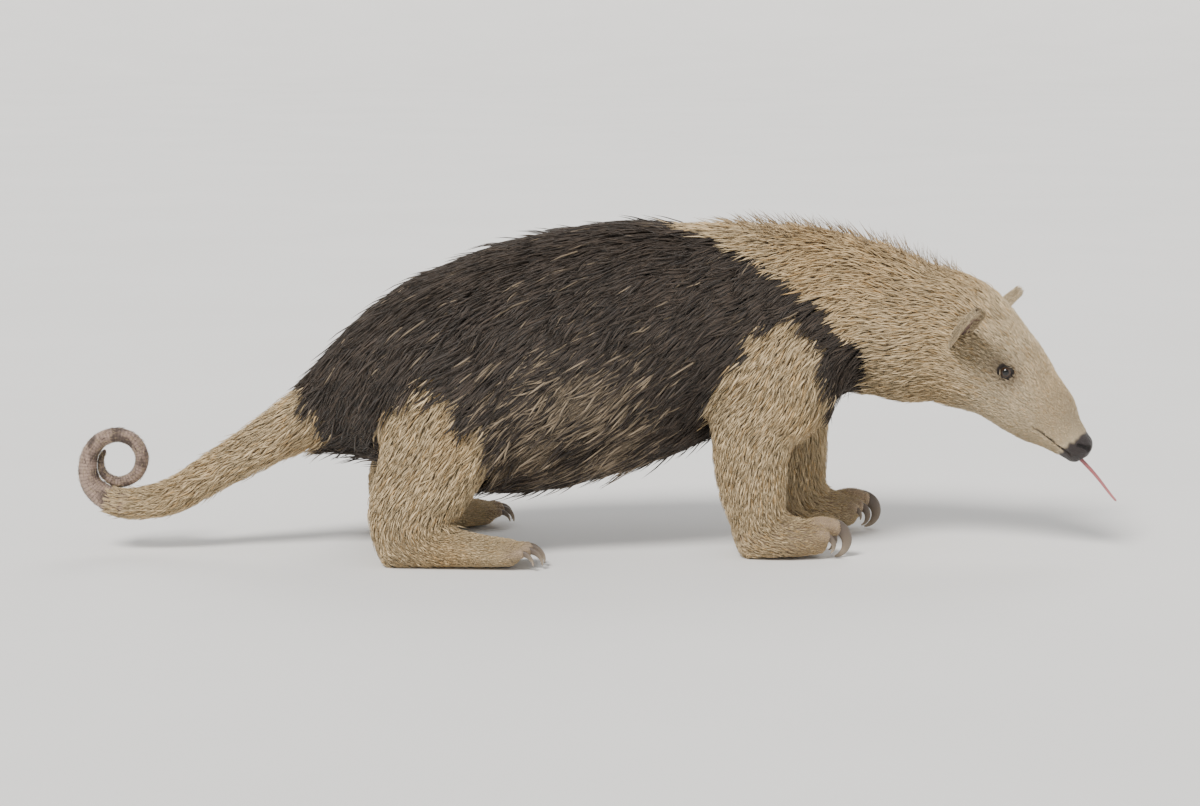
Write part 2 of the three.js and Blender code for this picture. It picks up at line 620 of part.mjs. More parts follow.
addNode('tongue', tongue.solid({ steps: 6, sides: 8, capStart: 1, capEnd: 1 }), materials.tongue);
[['left', LEFT], ['right', RIGHT]].forEach(([word, side]) => {
  addNode(`ear_${word}`, ear(side).subtract(grownSmooth), materials.pale);
  addNode(`eye_${word}`, ball(eyePlace(side).centre, EYE.radius, 12), materials.eye);
});

// Legs, feet and claws

limbs.forEach((limb) => {
  addNode(`${limb.name}_upper`, upperLeg(limb, 0), materials.pale);
  const shin = limb.tube.solid({ from: limb.split, steps: 4, sides: 13, capEnd: 3 });
  addNode(`${limb.name}_lower`, shin.subtract(footShape(limb, GAP)), materials.pale);
  const digits = limb.digits.map((plan) => digit(limb.footTube, limb.side, plan));
  const toes = (grow) => digits.map(({ toe }) => (
    toe.solid({ steps: 1, sides: 6, capStart: 1, capEnd: TOE.capEnd, grow })));
  const paw = (grow) => toes(grow).reduce((a, b) => a.add(b), footShape(limb, grow));
  addNode(limb.footName, paw(0).intersect(floor), materials.pale);
  const grownPaw = paw(GAP);
  digits.forEach(({ claw }, i) => {
    const solid = claw.solid({ ...CLAW_MESH, steps: limb.clawSteps }).subtract(grownPaw).intersect(floor);
    addNode(`claw_${limb.footName}_${i + 1}`, solid, materials.claw);
  });
});

// Tail pieces

const tailPiece = (from, to, steps, options = {}) => tail.solid({ from, to, steps, sides: 12, ...options });
addNode('tail_base', tailPiece(0, STEM_SPLIT, 7, { capStart: 4 }), materials.pale);
addNode('tail_middle', tailPiece(STEM_SPLIT, CURL_SPLIT, 6), materials.pale);
addNode('tail_curl', tailPiece(CURL_SPLIT, TIP_SPLIT, 16), materials.bare);
addNode('tail_tip', tailPiece(TIP_SPLIT, tail.last, 16, { sides: 9, capEnd: 1.2 }), materials.bare);

// The origin is under the middle of the whole model, on the floor.
const box = new THREE.Box3().setFromObject(model);
const middle = box.getCenter(new THREE.Vector3());
model.position.set(-middle.x, -middle.y, -box.min.z);

export default model;
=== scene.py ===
"""A life-size southern tamandua on all fours: skin, eyes, claws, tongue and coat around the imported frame."""

import math

import bmesh
import bpy
import numpy as np
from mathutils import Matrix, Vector, kdtree


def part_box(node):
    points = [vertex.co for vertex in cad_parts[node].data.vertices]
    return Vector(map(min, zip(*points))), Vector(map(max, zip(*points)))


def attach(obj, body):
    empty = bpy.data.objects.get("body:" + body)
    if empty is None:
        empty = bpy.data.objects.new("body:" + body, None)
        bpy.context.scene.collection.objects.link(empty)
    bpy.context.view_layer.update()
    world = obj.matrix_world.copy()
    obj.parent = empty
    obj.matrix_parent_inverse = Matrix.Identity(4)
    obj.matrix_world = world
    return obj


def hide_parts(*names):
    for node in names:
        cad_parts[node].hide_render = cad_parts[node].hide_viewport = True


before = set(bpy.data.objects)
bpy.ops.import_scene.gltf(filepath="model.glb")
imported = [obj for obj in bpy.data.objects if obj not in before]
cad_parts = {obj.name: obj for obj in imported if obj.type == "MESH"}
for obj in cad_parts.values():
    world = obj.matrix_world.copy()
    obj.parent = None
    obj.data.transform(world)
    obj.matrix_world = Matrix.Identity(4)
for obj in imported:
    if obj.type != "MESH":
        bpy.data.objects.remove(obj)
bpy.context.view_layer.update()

# The body's plan in millimetres, +X towards the head, +Y to the animal's left, feet on z = 0

LEFT, RIGHT = 1, -1
SIDES = {"left": LEFT, "right": RIGHT}

# The axis from the rump to the snout: x, y, z, half depth, half width, roll in degrees
SPINE = [
    [-192, 0, 97.5, 25, 24, 0],
    [-164, 0, 107.5, 46.5, 46, 0],
    [-121, 0, 118, 69.5, 66, 0],
    [-70, 0, 125, 83.5, 76, 0],
    [-19.6, 0, 136, 85.5, 77, 0],
    [29.4, 0, 147, 82, 73, 0],
    [72.8, 0, 155.5, 72, 65, 0],
    [113.4, 0, 161.5, 65, 57, 0],
    [150, 0, 164, 59, 50, 2],
    [184, -2, 161, 53, 46, 5],
    [216, -8.5, 150.9, 51.3, 42, 9],
    [243.2, -17.5, 145.8, 47.6, 38, 12],
    [260.3, -25, 135.5, 42.3, 33, 13],
    [278.6, -32, 122, 34, 27, 13],
    [294.8, -38.5, 105.8, 27.6, 21, 13],
    [308.8, -44.5, 93, 22.6, 16, 13],
    [318, -49, 83, 15.4, 12.5, 13],
    [327.3, -52.5, 74, 11.4, 10, 13],
]
SNOUT = len(SPINE) - 1

# Where the black vest ends, seen from the side: x, z from the withers to the chest
VEST_EDGE = np.array([
    [32, 262], [55, 232], [94, 212], [130, 190], [154, 168], [172, 142], [186, 108], [196, 60],
])

# Legs: x, y, z, half fore-and-aft, half width. The y of the right side is mirrored.
RIGHT_FORELEG = [
    [122, 35, 143, 45, 26], [116, 41, 110, 42, 25], [104, 47, 86, 31.5, 22],
    [100.5, 50, 60, 25, 20.5], [103, 52, 36, 21, 19], [107, 53, 15, 14, 13],
]
LEFT_FORELEG = [
    [124, 36, 143, 41, 26], [131, 41, 110, 37, 25], [138, 46, 86, 29.5, 22],
    [142, 49, 60, 25, 20.5], [146, 50, 38, 21, 19], [152, 51, 18, 14, 12],
]
HINDLEG = [
    [-102, 41, 110, 35, 28], [-112, 51, 83, 40, 26], [-126, 60, 53, 33.5, 22.5],
    [-137, 66, 31, 27, 19], [-141, 68, 13, 17, 12],
]

# Feet: x, y, z, half height, half width, heel first
RIGHT_HAND = [
    [99, 53, 12.5, 14, 15], [113, 54, 14.5, 16, 19], [129, 55, 13.5, 14.5, 19.5], [145, 55, 12.5, 11.5, 17],
]
LEFT_HAND = [
    [146, 51, 12.5, 14, 15], [158, 51, 14.5, 16, 18], [170, 50, 14.5, 14, 18.5], [182, 49, 13.5, 11.5, 16.5],
]
RIGHT_HIND_FOOT = [
    [-147, 69, 16, 17, 15], [-120, 71, 13.5, 15.5, 17], [-92, 74, 10.5, 12, 18.5], [-67, 77, 9, 9.8, 18.5],
]
LEFT_HIND_FOOT = [
    [-149, 66, 16, 17, 15], [-127, 71, 13.5, 15.5, 17], [-103, 78, 10.5, 12, 18.5], [-81, 85, 9, 9.8, 18.5],
]

# Digits from the innermost outwards: sideways place, toe radius and length, the claw's length, half depth
# and curl, how far the digit turns outwards, and its height on the foot
FRONT_DIGITS = [
    (-12.5, 5.0, 5, 11, 2.6, 100, -20, 4), (-5.5, 6.0, 9.5, 19, 3.6, 150, -10, 5.2),
    (4, 7.0, 14, 29, 5.8, 160, -2, 9.4), (12.5, 5.4, 6, 15, 3.0, 130, 10, 4),
]
HIND_DIGITS = [
    (-14.5, 4.2, 8.5, 12.5, 2.5, 95, -14, 1), (-8, 4.7, 12.5, 16, 2.9, 102, -7, 1),
    (-0.6, 4.9, 14.5, 17, 3.0, 105, 0, 1), (7, 4.7, 13.5, 17, 3.0, 102, 7, 1),
    (14, 4.4, 9.5, 14, 2.6, 97, 15, 1),
]
# The caps of the leg's top and the foot's front in millimetres, and how far the digits dip in degrees
FORE = {"end": "fore", "digits": FRONT_DIGITS, "leg_cap": 30, "foot_cap": 9, "pitch": 5}
HIND = {"end": "hind", "digits": HIND_DIGITS, "leg_cap": 24, "foot_cap": 8, "pitch": -11}
ANKLE_CAP, HEEL_CAP = 3, 9
CLAW_WIDTH_SHARE = 0.62
CLAW_ROOT = 0.6
TOE = {"root": 9, "root_drop": 0.9, "taper": 0.86, "cap": 2.5}

# Tail: x, y, z and radius of the straight part, then the curl's turn in degrees, radius and thickness
TAIL_STEM = [
    [-172, 0, 106, 20], [-203, 0, 93.5, 20.5], [-234, 0, 75.5, 16.8], [-268, 0, 56, 13.6],
    [-302, 0, 37.2, 11.8],
]
CURL_CENTRE = (-336, 64.5)
TAIL_CURL = [
    (0, 30.2, 9.3), (45, 25.4, 7.4), (90, 20.2, 6.1), (135, 17.9, 5.4), (180, 17.2, 5.0),
    (225, 16.9, 4.8), (270, 16.8, 4.6), (315, 16.6, 4.2), (360, 16.2, 3.7), (405, 14.3, 2.9),
    (450, 11.6, 2.1), (480, 10.7, 1.4),
]
CURL_DRIFT = 3

# The head's details in millimetres, placed by station number and angle
EYE = {"at": 13.05, "angle": 13, "radius": 5.4, "sink": 4, "lid": 1.7, "wide": 5.0, "high": 4.2, "gap": 0.15}
BROW = {"above": 8.5, "high": 3.2, "long": 9, "rise": 0.7}
SOCKET = {"reach": 11, "deep": 0.9}
EAR = {
    "at": 11.3, "angle": 2, "length": 54, "root": 11, "root_half": 5, "tip_half": 16, "roundness": 2.6,
    "blunt": 0.03, "cup": 6.2, "wall_root": 2.0, "wall_tip": 0.7, "turn_ahead": 1.3,
    "rise": (0.22, 0.66, 0.62),
}
NOSTRIL = {
    "ahead": 5.8, "angle": 38, "radius": 2.1, "back": -0.5, "back_angle": 16, "back_radius": 1.1,
    "deep": 3.1, "rim": 0.8, "rim_reach": 3.6,
}
NOSE_GROOVE = {"from": 8.6, "to": 2.5, "deep": 0.7, "wide": 0.9}
LIPS = {
    "from": 13.9, "to": 17.3, "angle_back": -22, "angle_front": -30, "sink": 0.6,
    "cleft": 1.5, "cleft_wide": 0.9, "swell": 0.75, "swell_wide": 3.2,
}
MOUTH = {"ahead": 8.5, "low": 4, "radius": 3.2}
TONGUE = {
    "length": 37, "root": 9, "low": 4, "radius": 2.1, "tip": 1.1, "flat": 0.8, "turn": (-0.04, 0.1, -0.06),
}

# The skin lies under the tips of the coat by these depths: station numbers, then millimetres
CORE_DEPTH = 5.0
SPINE_COAT = ([0, 9, 10.6, 12, 13.5, 15.5, 16.3, 16.9], [4.0, 4.0, 3.6, 2.2, 1.3, 0.8, 0.3, 0.05])
LEG_COAT = ([0, 2, 4, 5], [3.6, 3.2, 2.2, 1.5])
TAIL_COAT = ([0, 2, 4, 5, 5.6], [4.0, 3.2, 1.6, 0.5, 0.3])
FOOT_COAT, TOE_COAT = 1.2, 0.6
SOLE = 0.25

# The tail's skin is bare and ringed from this station on
BARE_FROM, STEM_TO = 5.0, 5.6


def unit(v):
    return v / np.maximum(np.linalg.norm(v, axis=-1, keepdims=True), 1e-9)


def dot(a, b):
    return np.einsum("...i,...i->...", a, b)


def square_to(way, normals):
    """The way's direction with what runs along the normals taken out."""
    return unit(way - normals * np.asarray(dot(way, normals))[..., None])


def turn_about(ways, axes, degrees):
    a = np.radians(degrees)[:, None]
    return ways * np.cos(a) + np.cross(axes, ways) * np.sin(a)


def level(way):
    """The way's direction over the floor."""
    return unit(np.array([way[0], way[1], 0]))


def smooth(low, high, x):
    t = np.clip((np.asarray(x, float) - low) / (high - low), 0, 1)
    return t * t * (3 - 2 * t)


def band(start, full, fading, end, x):
    """1 from full to fading, falling to 0 at start and end."""
    return smooth(start, full, x) * (1 - smooth(fading, end, x))


def bell(x, width, power=2):
    """1 where x is 0, falling to 0 beyond about a width."""
    return np.exp(-(x / width)**power)


def union(a, b, reach):
    """Distance to two shapes joined, with a fillet of about that reach."""
    return np.minimum(a, b) - np.clip(reach - np.abs(a - b), 0, None) ** 2 / (4 * reach)


def cut(a, b, reach):
    """Distance to a with b taken out of it, its edges rounded by about that reach."""
    return -union(-a, b, reach)


def nearest(points, targets, chunk=40000):
    """The number of the target nearest to each point."""
    targets = targets.astype(np.float32)
    square = dot(targets, targets)
    found = np.empty(len(points), int)
    for i in range(0, len(points), chunk):
        some = points[i:i + chunk].astype(np.float32)
        found[i:i + chunk] = np.argmin(square - 2 * some @ targets.T, axis=1)
    return found


def corners_of(points, faces):
    """The first three corners of each face."""
    return (points[faces[:, k]] for k in range(3))


def facing_out(points, faces):
    """True where the faces of a closed surface are wound to face out of it."""
    a, b, c = (corner - points.mean(0) for corner in corners_of(points, faces))
    return np.sum(dot(a, np.cross(b, c))) >= 0


class Ripple:
    """Smooth noise, mostly from -1 to 1, as a sum of plane waves of about one length."""

    def __init__(self, length, seed, waves=12):
        draw = np.random.default_rng(seed)
        ways = unit(draw.normal(size=(waves, 3)))
        self.pace = ways * 2 * np.pi / (length * draw.uniform(0.7, 1.5, (waves, 1)))
        self.phase = draw.uniform(0, 2 * np.pi, waves)

    def __call__(self, points):
        return np.sin(points @ self.pace.T + self.phase).sum(1) / math.sqrt(len(self.phase))


def catmull_rom(points, stations, centripetal):
    """Places on a Catmull-Rom spline through points at station numbers, and their change per station."""
    padded = np.vstack([2 * points[0] - points[1], points, 2 * points[-1] - points[-2]])
    base = np.clip(np.floor(stations).astype(int), 0, len(points) - 2)
    share = (stations - base)[:, None]
    a, b, c, d = (padded[base + k] for k in range(4))
    if centripetal:
        pairs = ((a, b), (b, c), (c, d))
        ab, bc, cd = (np.sqrt(np.linalg.norm(q - p, axis=1, keepdims=True)) for p, q in pairs)
        start = ((b - a) / ab - (c - a) / (ab + bc) + (c - b) / bc) * bc
        end = ((c - b) / bc - (d - b) / (bc + cd) + (d - c) / cd) * bc
    else:
        start, end = (c - a) / 2, (d - b) / 2
    second = 3 * (c - b) - 2 * start - end
    third = 2 * (b - c) + start + end
    place = b + start * share + second * share**2 + third * share**3
    return place, start + 2 * second * share + 3 * third * share**2


class Tube:
    """A tube of oval section along a smooth path. Angle 0 is the animal's left, 90 its top."""

    SAMPLES = 12
    COARSE = 4

    def __init__(self, rows, coat, cap_start, cap_end, last=None):
        # A row may leave out its half width, which is then its half depth, and its roll
        self.rows = np.array([[*row, *(row[3], 0)[len(row) - 4:]] for row in rows], float)
        self.last = last or len(rows) - 1
        self.coat, self.caps = coat, (cap_start, cap_end)
        self.stations = np.linspace(0, self.last, int(self.last * self.SAMPLES) + 1)
        self.packed = np.hstack(self.frame(self.stations))
        self.centres = self.packed[:, :3]
        self.pace = np.linalg.norm(np.gradient(self.centres, axis=0), axis=1)
        widest = self.packed[:, 12:14].max() + max(self.caps)
        self.low, self.high = self.centres.min(0) - widest, self.centres.max(0) + widest

    def frame(self, stations):
        """Centres, directions along, sideways and up, and half depth and width, one row for each station."""
        stations = np.atleast_1d(np.asarray(stations, float))
        centre, speed = catmull_rom(self.rows[:, :3], stations, True)
        size, _ = catmull_rom(self.rows[:, 3:], stations, False)
        along = unit(speed)
        side = unit(np.array([0, 1, 0]) - along * along[:, 1:2])
        side = turn_about(side, along, size[:, 2])
        return centre, along, side, np.cross(along, side), size[:, :2]

    def place(self, stations, degrees, lift=0.0):
        """Points on the surface, lifted off it, and the directions out of it."""
        centre, along, side, up, size = self.frame(stations)
        angle = np.radians(np.atleast_1d(degrees))[:, None]
        depth, width = size[:, :1], size[:, 1:]
        out = unit(side * np.cos(angle) / width + up * np.sin(angle) / depth)
        return centre + side * width * np.cos(angle) + up * depth * np.sin(angle) + out * lift, out, along

    def read(self, points):
        """Each point's distance to the surface, station, angle in degrees and the direction along there."""
        place = nearest(points, self.centres[::self.COARSE]) * self.COARSE
        for reach in (self.COARSE, self.COARSE, 1):
            near = np.rint(place).astype(int)
            ahead = dot(points - self.centres[near], self.packed[near, 3:6])
            place = np.clip(near + np.clip(ahead / self.pace[near], -reach, reach), 0, len(self.stations) - 1)
        low = np.minimum(place.astype(int), len(self.stations) - 2)
        share = (place - low)[:, None]
        at = self.packed[low] * (1 - share) + self.packed[low + 1] * share
        offset = points - at[:, :3]
        past = dot(offset, at[:, 3:6])
        over = np.where(place <= 0, -past, np.where(place >= len(self.stations) - 1, past, 0)).clip(0)
        across, above = dot(offset, at[:, 6:9]), dot(offset, at[:, 9:12])
        cap = np.where(place <= 0, self.caps[0], self.caps[1])
        ratio = np.sqrt((across / at[:, 13])**2 + (above / at[:, 12])**2 + (over / cap)**2)
        radius = np.sqrt(across**2 + above**2 + over**2)
        distance = np.where(ratio > 1e-4, radius * (1 - 1 / np.maximum(ratio, 1e-4)), -at[:, 13])
        angle = np.degrees(np.arctan2(above / at[:, 12], across / at[:, 13]))
        return distance, place / self.SAMPLES, angle, at[:, 3:6]

    def skin(self, points):
        """Distance to the skin, which lies under this tube by the coat's depth."""
        distance, station, _, _ = self.read(points)
        if callable(self.coat):
            return distance + self.coat(station, points)
        return distance + (np.interp(station, *self.coat) if isinstance(self.coat, tuple) else self.coat)


# The body's parts


def vest_reach(points):
    """How far behind the vest's front edge a point lies, in millimetres along x."""
    return np.interp(points[:, 2], VEST_EDGE[::-1, 1], VEST_EDGE[::-1, 0]) - points[:, 0]


def spine_coat(station, points):
    vest = smooth(2, 34, vest_reach(points))
    return np.interp(station, *SPINE_COAT) * (1 - vest) + CORE_DEPTH * vest


def mirrored(rows, side):
    return [[r[0], r[1] * side, *r[2:]] for r in rows]


def turned(heading, degrees):
    """Directions that dip from a level heading by so many degrees."""
    a = np.radians(np.asarray(degrees, float))[..., None]
    return heading * np.cos(a) + np.array([0, 0, -1.0]) * np.sin(a)


class Digit:
    """A toe and its claw, which bends down in one upright plane."""

    STEPS = 18

    def __init__(self, foot, side, plan, pitch):
        place, toe, reach, claw, self.thick, curl, yaw, lift = plan
        centre, along, left, up, _ = (v[0] for v in foot.frame(foot.last))
        base = centre + left * place * side + up * lift
        heading = level(along)
        a = math.radians(yaw * side)
        heading = heading * math.cos(a) + np.cross([0, 0, 1], heading) * math.sin(a)
        ahead = turned(heading, pitch)
        self.knuckle = base + ahead * reach
        root = base - ahead * TOE["root"] - up * TOE["root_drop"] * lift
        stops = [(root, 1), (base, 1), (self.knuckle, TOE["taper"])]
        self.toe = Tube([[*p, toe * share] for p, share in stops], TOE_COAT, 1, TOE["cap"])
        share = np.linspace(0, 1, self.STEPS)
        turn = np.radians(curl * share)[:, None]
        radius = claw / math.radians(curl)
        self.nail = (self.knuckle - ahead * self.thick * CLAW_ROOT + ahead * radius * np.sin(turn)
                     + turned(heading, pitch + 90) * radius * (1 - np.cos(turn)))
        self.share, self.level = share, unit(np.cross(heading, [0, 0, 1]))


class Limb:
    """A leg with its foot and digits."""

    def __init__(self, kind, word, leg, foot):
        side = SIDES[word]
        self.name, self.foot_name = (f"{kind['end']}{half}_{word}" for half in ("leg", "foot"))
        self.leg = Tube(mirrored(leg, side), LEG_COAT, kind["leg_cap"], ANKLE_CAP)
        self.foot = Tube(mirrored(foot, side), FOOT_COAT, HEEL_CAP, kind["foot_cap"])
        self.digits = [Digit(self.foot, side, plan, kind["pitch"]) for plan in kind["digits"]]


def curl_row(turn, radius, thick):
    """The tail's curl as a row of its tube."""
    a = math.radians(-90 - turn)
    drift = CURL_DRIFT * turn / TAIL_CURL[-1][0]
    return [CURL_CENTRE[0] + radius * math.cos(a), drift, CURL_CENTRE[1] + radius * math.sin(a), thick]


RUMP_CAP, SNOUT_CAP = 7, 9
TAIL_ROOT_CAP, STEM_CAP, TAIL_TIP_CAP = 4, 6, 1.2
spine = Tube(SPINE, spine_coat, RUMP_CAP, SNOUT_CAP)
tail_rows = TAIL_STEM + [curl_row(*row) for row in TAIL_CURL]
tail_stem = Tube(tail_rows, TAIL_COAT, TAIL_ROOT_CAP, STEM_CAP, last=STEM_TO)
tail = Tube(tail_rows, 0.0, TAIL_ROOT_CAP, TAIL_TIP_CAP)
limbs = [
    Limb(FORE, "right", RIGHT_FORELEG, RIGHT_HAND),
    Limb(FORE, "left", LEFT_FORELEG, LEFT_HAND),
    Limb(HIND, "right", HINDLEG, RIGHT_HIND_FOOT),
    Limb(HIND, "left", HINDLEG, LEFT_HIND_FOOT),
]
PARTS = [spine, tail_stem, *(limb.leg for limb in limbs), *(limb.foot for limb in limbs)]
TRUNK, TAIL, LEGS, FEET = 0, 1, slice(2, 6), slice(6, 10)

# How far the fillets reach where the parts meet, and how near a part counts, in millimetres
FILLET = {"tail": 18, "leg": 20, "foot": 3, "toe": 2.5, "ankle": 9}
PART_MARGIN, TOE_MARGIN, FAR = 40, 12, 1e3


def add_part(total, points, tube, reach, margin=PART_MARGIN):
    """Joins one part to the distances so far, only where points lie near it."""
    near = np.all((points > tube.low - margin) & (points < tube.high + margin), axis=1)
    total[near] = union(total[near], tube.skin(points[near]), reach)


def skin_distance(points):
    """Distance to the skin in millimetres, negative inside it."""
    total = spine.skin(points)
    add_part(total, points, tail_stem, FILLET["tail"])
    for limb in limbs:
        add_part(total, points, limb.leg, FILLET["leg"])
        foot = np.full(len(points), FAR)
        add_part(foot, points, limb.foot, FILLET["foot"])
        for digit in limb.digits:
            add_part(foot, points, digit.toe, FILLET["toe"], TOE_MARGIN)
        total = union(total, foot, FILLET["ankle"])
    return np.maximum(total, SOLE - points[:, 2])


# Head details


def side_angle(side, degrees):
    return degrees if side == LEFT else 180 - degrees


def eye_frame(side):
    """The eye's centre, and the directions along the head, up or down the face and out of the socket."""
    centre, out, along = (v[0] for v in spine.place(EYE["at"], side_angle(side, EYE["angle"]), -EYE["sink"]))
    return centre, square_to(along, out), unit(np.cross(out, along)), out


def from_eye(points, side):
    """How far points lie ahead of the eye's centre, above it and outwards from it, and their distance."""
    centre, along, up, out = eye_frame(side)
    offset = points - centre
    above = dot(offset, up) * math.copysign(1, up[2])
    return dot(offset, along), above, dot(offset, out), np.linalg.norm(offset, axis=1)


def from_lips(points, side):
    """Each point's distance from the line where the lips meet, and its share from the line's back end."""
    share = np.linspace(0, 1, 60)
    stations = LIPS["from"] + (LIPS["to"] - LIPS["from"]) * share
    angles = LIPS["angle_back"] + (LIPS["angle_front"] - LIPS["angle_back"]) * share
    line = spine.place(np.minimum(stations, SNOUT), side_angle(side, angles), -LIPS["sink"])[0]
    near = nearest(points, line)
    return np.linalg.norm(points - line[near], axis=1), share[near]


def nose_point(ahead, side, degrees):
    """A point on the rounded end of the snout."""
    centre, along, left, up, size = (v[0] for v in spine.frame(SNOUT))
    a = math.radians(side_angle(side, degrees))
    reach = math.sqrt(1 - (ahead / SNOUT_CAP)**2) if ahead > 0 else 1
    return centre + along * ahead + (left * size[1] * math.cos(a) + up * size[0] * math.sin(a)) * reach


def nostril_ends(side):
    ends = (("ahead", "angle"), ("back", "back_angle"))
    return [nose_point(NOSTRIL[ahead], side, NOSTRIL[angle]) for ahead, angle in ends]


def along_segment(points, start, end):
    """Each point's share along a segment and its distance from it."""
    way = end - start
    share = np.clip((points - start) @ way / (way @ way), 0, 1)
    return share, np.linalg.norm(points - start - share[:, None] * way, axis=1)


def nostril_pit(points, side):
    """1 in the middle of a nostril, falling to 0 at its edge."""
    share, away = along_segment(points, *nostril_ends(side))
    wide = NOSTRIL["radius"] + (NOSTRIL["back_radius"] - NOSTRIL["radius"]) * share
    return bell(away, wide, 4)


snout_end, snout_ahead, _, snout_up, _ = (v[0] for v in spine.frame(SNOUT))
MOUTH_AT = snout_end - snout_up * MOUTH["low"] + snout_ahead * MOUTH["ahead"]
HEAD_FROM_X = 215
FEET_TO_Z = 20


def with_features(points, d):
    """Adds sockets, lids, lips, nostrils and the mouth to distances on the head."""
    for side in (LEFT, RIGHT):
        ahead, above, outwards, radius = from_eye(points, side)
        brow = np.exp(-((above - BROW["above"]) / BROW["high"])**2 - (ahead / BROW["long"])**2)
        d = d - BROW["rise"] * brow * (outwards > -EYE["sink"])
        d = d + SOCKET["deep"] * bell(radius, SOCKET["reach"], 4)
        d = union(d, radius - EYE["radius"] - EYE["lid"], 3.0)
        slit = (np.hypot(ahead / EYE["wide"], above / EYE["high"]) - 1) * EYE["high"]
        d = cut(d, np.maximum(slit, -outwards), 0.9)
        d = np.maximum(d, EYE["radius"] + EYE["gap"] - radius)
        away, share = from_lips(points, side)
        cleft = LIPS["cleft"] * bell(away, LIPS["cleft_wide"])
        d = d + smooth(0, 0.25, share) * (cleft - LIPS["swell"] * bell(away, LIPS["swell_wide"]))
        _, away = along_segment(points, *nostril_ends(side))
        d = d - NOSTRIL["rim"] * bell(away, NOSTRIL["rim_reach"])
        d = d + NOSTRIL["deep"] * nostril_pit(points, side)
    groove = (nose_point(NOSE_GROOVE[end], LEFT, 90) for end in ("from", "to"))
    _, away = along_segment(points, *groove)
    d = d + NOSE_GROOVE["deep"] * bell(away, NOSE_GROOVE["wide"])
    return cut(d, np.linalg.norm(points - MOUTH_AT, axis=1) - MOUTH["radius"], 1.2)


def detailed_distance(points):
    d = skin_distance(points)
    head = points[:, 0] > HEAD_FROM_X
    d[head] = with_features(points[head], d[head])
    return d


def settle(points, field, rounds, step=0.25):
    """Moves points onto the field's zero level."""
    for _ in range(rounds):
        here = field(points)
        rise = np.stack([field(points + way) - here for way in np.eye(3) * step], axis=1) / step
        points = points - rise * (here / np.maximum(dot(rise, rise), 0.2))[:, None].clip(-2, 2)
    return points


# The skin's mesh

VOXEL = 2.8
COARSE_CELL = 4
NEAR_SKIN = 13
BATCHES = 8
GRID_LOW = np.array([-345.0, -112.0, -6.0])
GRID_HIGH = np.array([352.0, 112.0, 266.0])


def skin_grid():
    """The distance to the skin on a grid, exact near it and read between coarse points elsewhere."""
    axes = [np.arange(low, high, VOXEL) for low, high in zip(GRID_LOW, GRID_HIGH)]
    rough = [np.append(a[::COARSE_CELL], a[-1] + VOXEL) for a in axes]
    values = skin_distance(np.stack(np.meshgrid(*rough, indexing="ij"), axis=-1).reshape(-1, 3))
    values = values.reshape([len(a) for a in rough])
    for axis, (fine, few) in enumerate(zip(axes, rough)):
        weights = np.stack([np.interp(fine, few, row) for row in np.eye(len(few))])
        values = np.moveaxis(np.tensordot(values, weights, axes=(axis, 0)), -1, axis)
    near = np.argwhere(np.abs(values) < NEAR_SKIN)
    exact = [skin_distance(GRID_LOW + VOXEL * part) for part in np.array_split(near, BATCHES)]
    values[tuple(near.T)] = np.concatenate(exact)
    return values


def with_head_detail(values):
    """The same grid with the eyes, lips and nose in it."""
    near = np.argwhere(np.abs(values) < NEAR_SKIN)
    near = near[GRID_LOW[0] + VOXEL * near[:, 0] > HEAD_FROM_X]
    values = values.copy()
    values[tuple(near.T)] = detailed_distance(GRID_LOW + VOXEL * near)
    return values


def surface_net(values):
    """Quads of a grid's zero level, with one corner in each cell that it crosses."""
    inside = values < 0
    size = np.array(values.shape) - 1
    count = sum(inside[i:i + size[0], j:j + size[1], k:k + size[2]].astype(np.int8)
                for i in (0, 1) for j in (0, 1) for k in (0, 1))
    active = (count > 0) & (count < 8)
    ids = np.full(size, -1)
    ids[active] = np.arange(active.sum())
    cell = np.argwhere(active)
    total, hits = np.zeros((len(cell), 3)), np.zeros(len(cell))
    for axis in range(3):
        for u in (0, 1):
            for v in (0, 1):
                low = np.insert(np.array([u, v]), axis, 0)
                high = np.insert(np.array([u, v]), axis, 1)
                a, b = values[tuple((cell + low).T)], values[tuple((cell + high).T)]
                crossed = (a < 0) != (b < 0)
                share = np.where(crossed, a / np.where(crossed, a - b, 1), 0)
                total += crossed[:, None] * (low + (high - low) * share[:, None])
                hits += crossed
    quads = []
    for axis in range(3):
        u, v = (axis + 1) % 3, (axis + 2) % 3
        start = np.moveaxis(inside, axis, 0)[:-1]
        end = np.moveaxis(inside, axis, 0)[1:]
        changed = np.moveaxis(start != end, 0, axis)
        at = np.argwhere(changed)
        at = at[(at[:, u] > 0) & (at[:, v] > 0)]
        corner = []
        for du, dv in ((1, 1), (0, 1), (0, 0), (1, 0)):
            place = at.copy()
            place[:, u] -= du
            place[:, v] -= dv
            corner.append(ids[tuple(place.T)])
        quad = np.stack(corner, axis=1)
        leaving = inside[tuple(at.T)]
        quad[~leaving] = quad[~leaving][:, ::-1]
        quads.append(quad)
    return GRID_LOW + VOXEL * (cell + total / hits[:, None]), np.vstack(quads)


class Sampler:
    """Reads the distance to the skin and the direction out of it from the grid."""

    def __init__(self, values):
        rise = np.gradient(values, VOXEL)
        self.table = np.stack([values, *rise], axis=-1).astype(np.float32)

    def __call__(self, points):
        top = np.array(self.table.shape[:3]) - 2
        place = np.clip((points - GRID_LOW) / VOXEL, 0, top + 0.999)
        low = np.minimum(place.astype(int), top)
        share = place - low
        found = 0
        for corner in np.ndindex(2, 2, 2):
            weight = np.prod(np.where(corner, share, 1 - share), axis=1)[:, None]
            found = found + weight * self.table[tuple((low + corner).T)]
        return found[:, 0], unit(found[:, 1:])


# From the plan to Blender

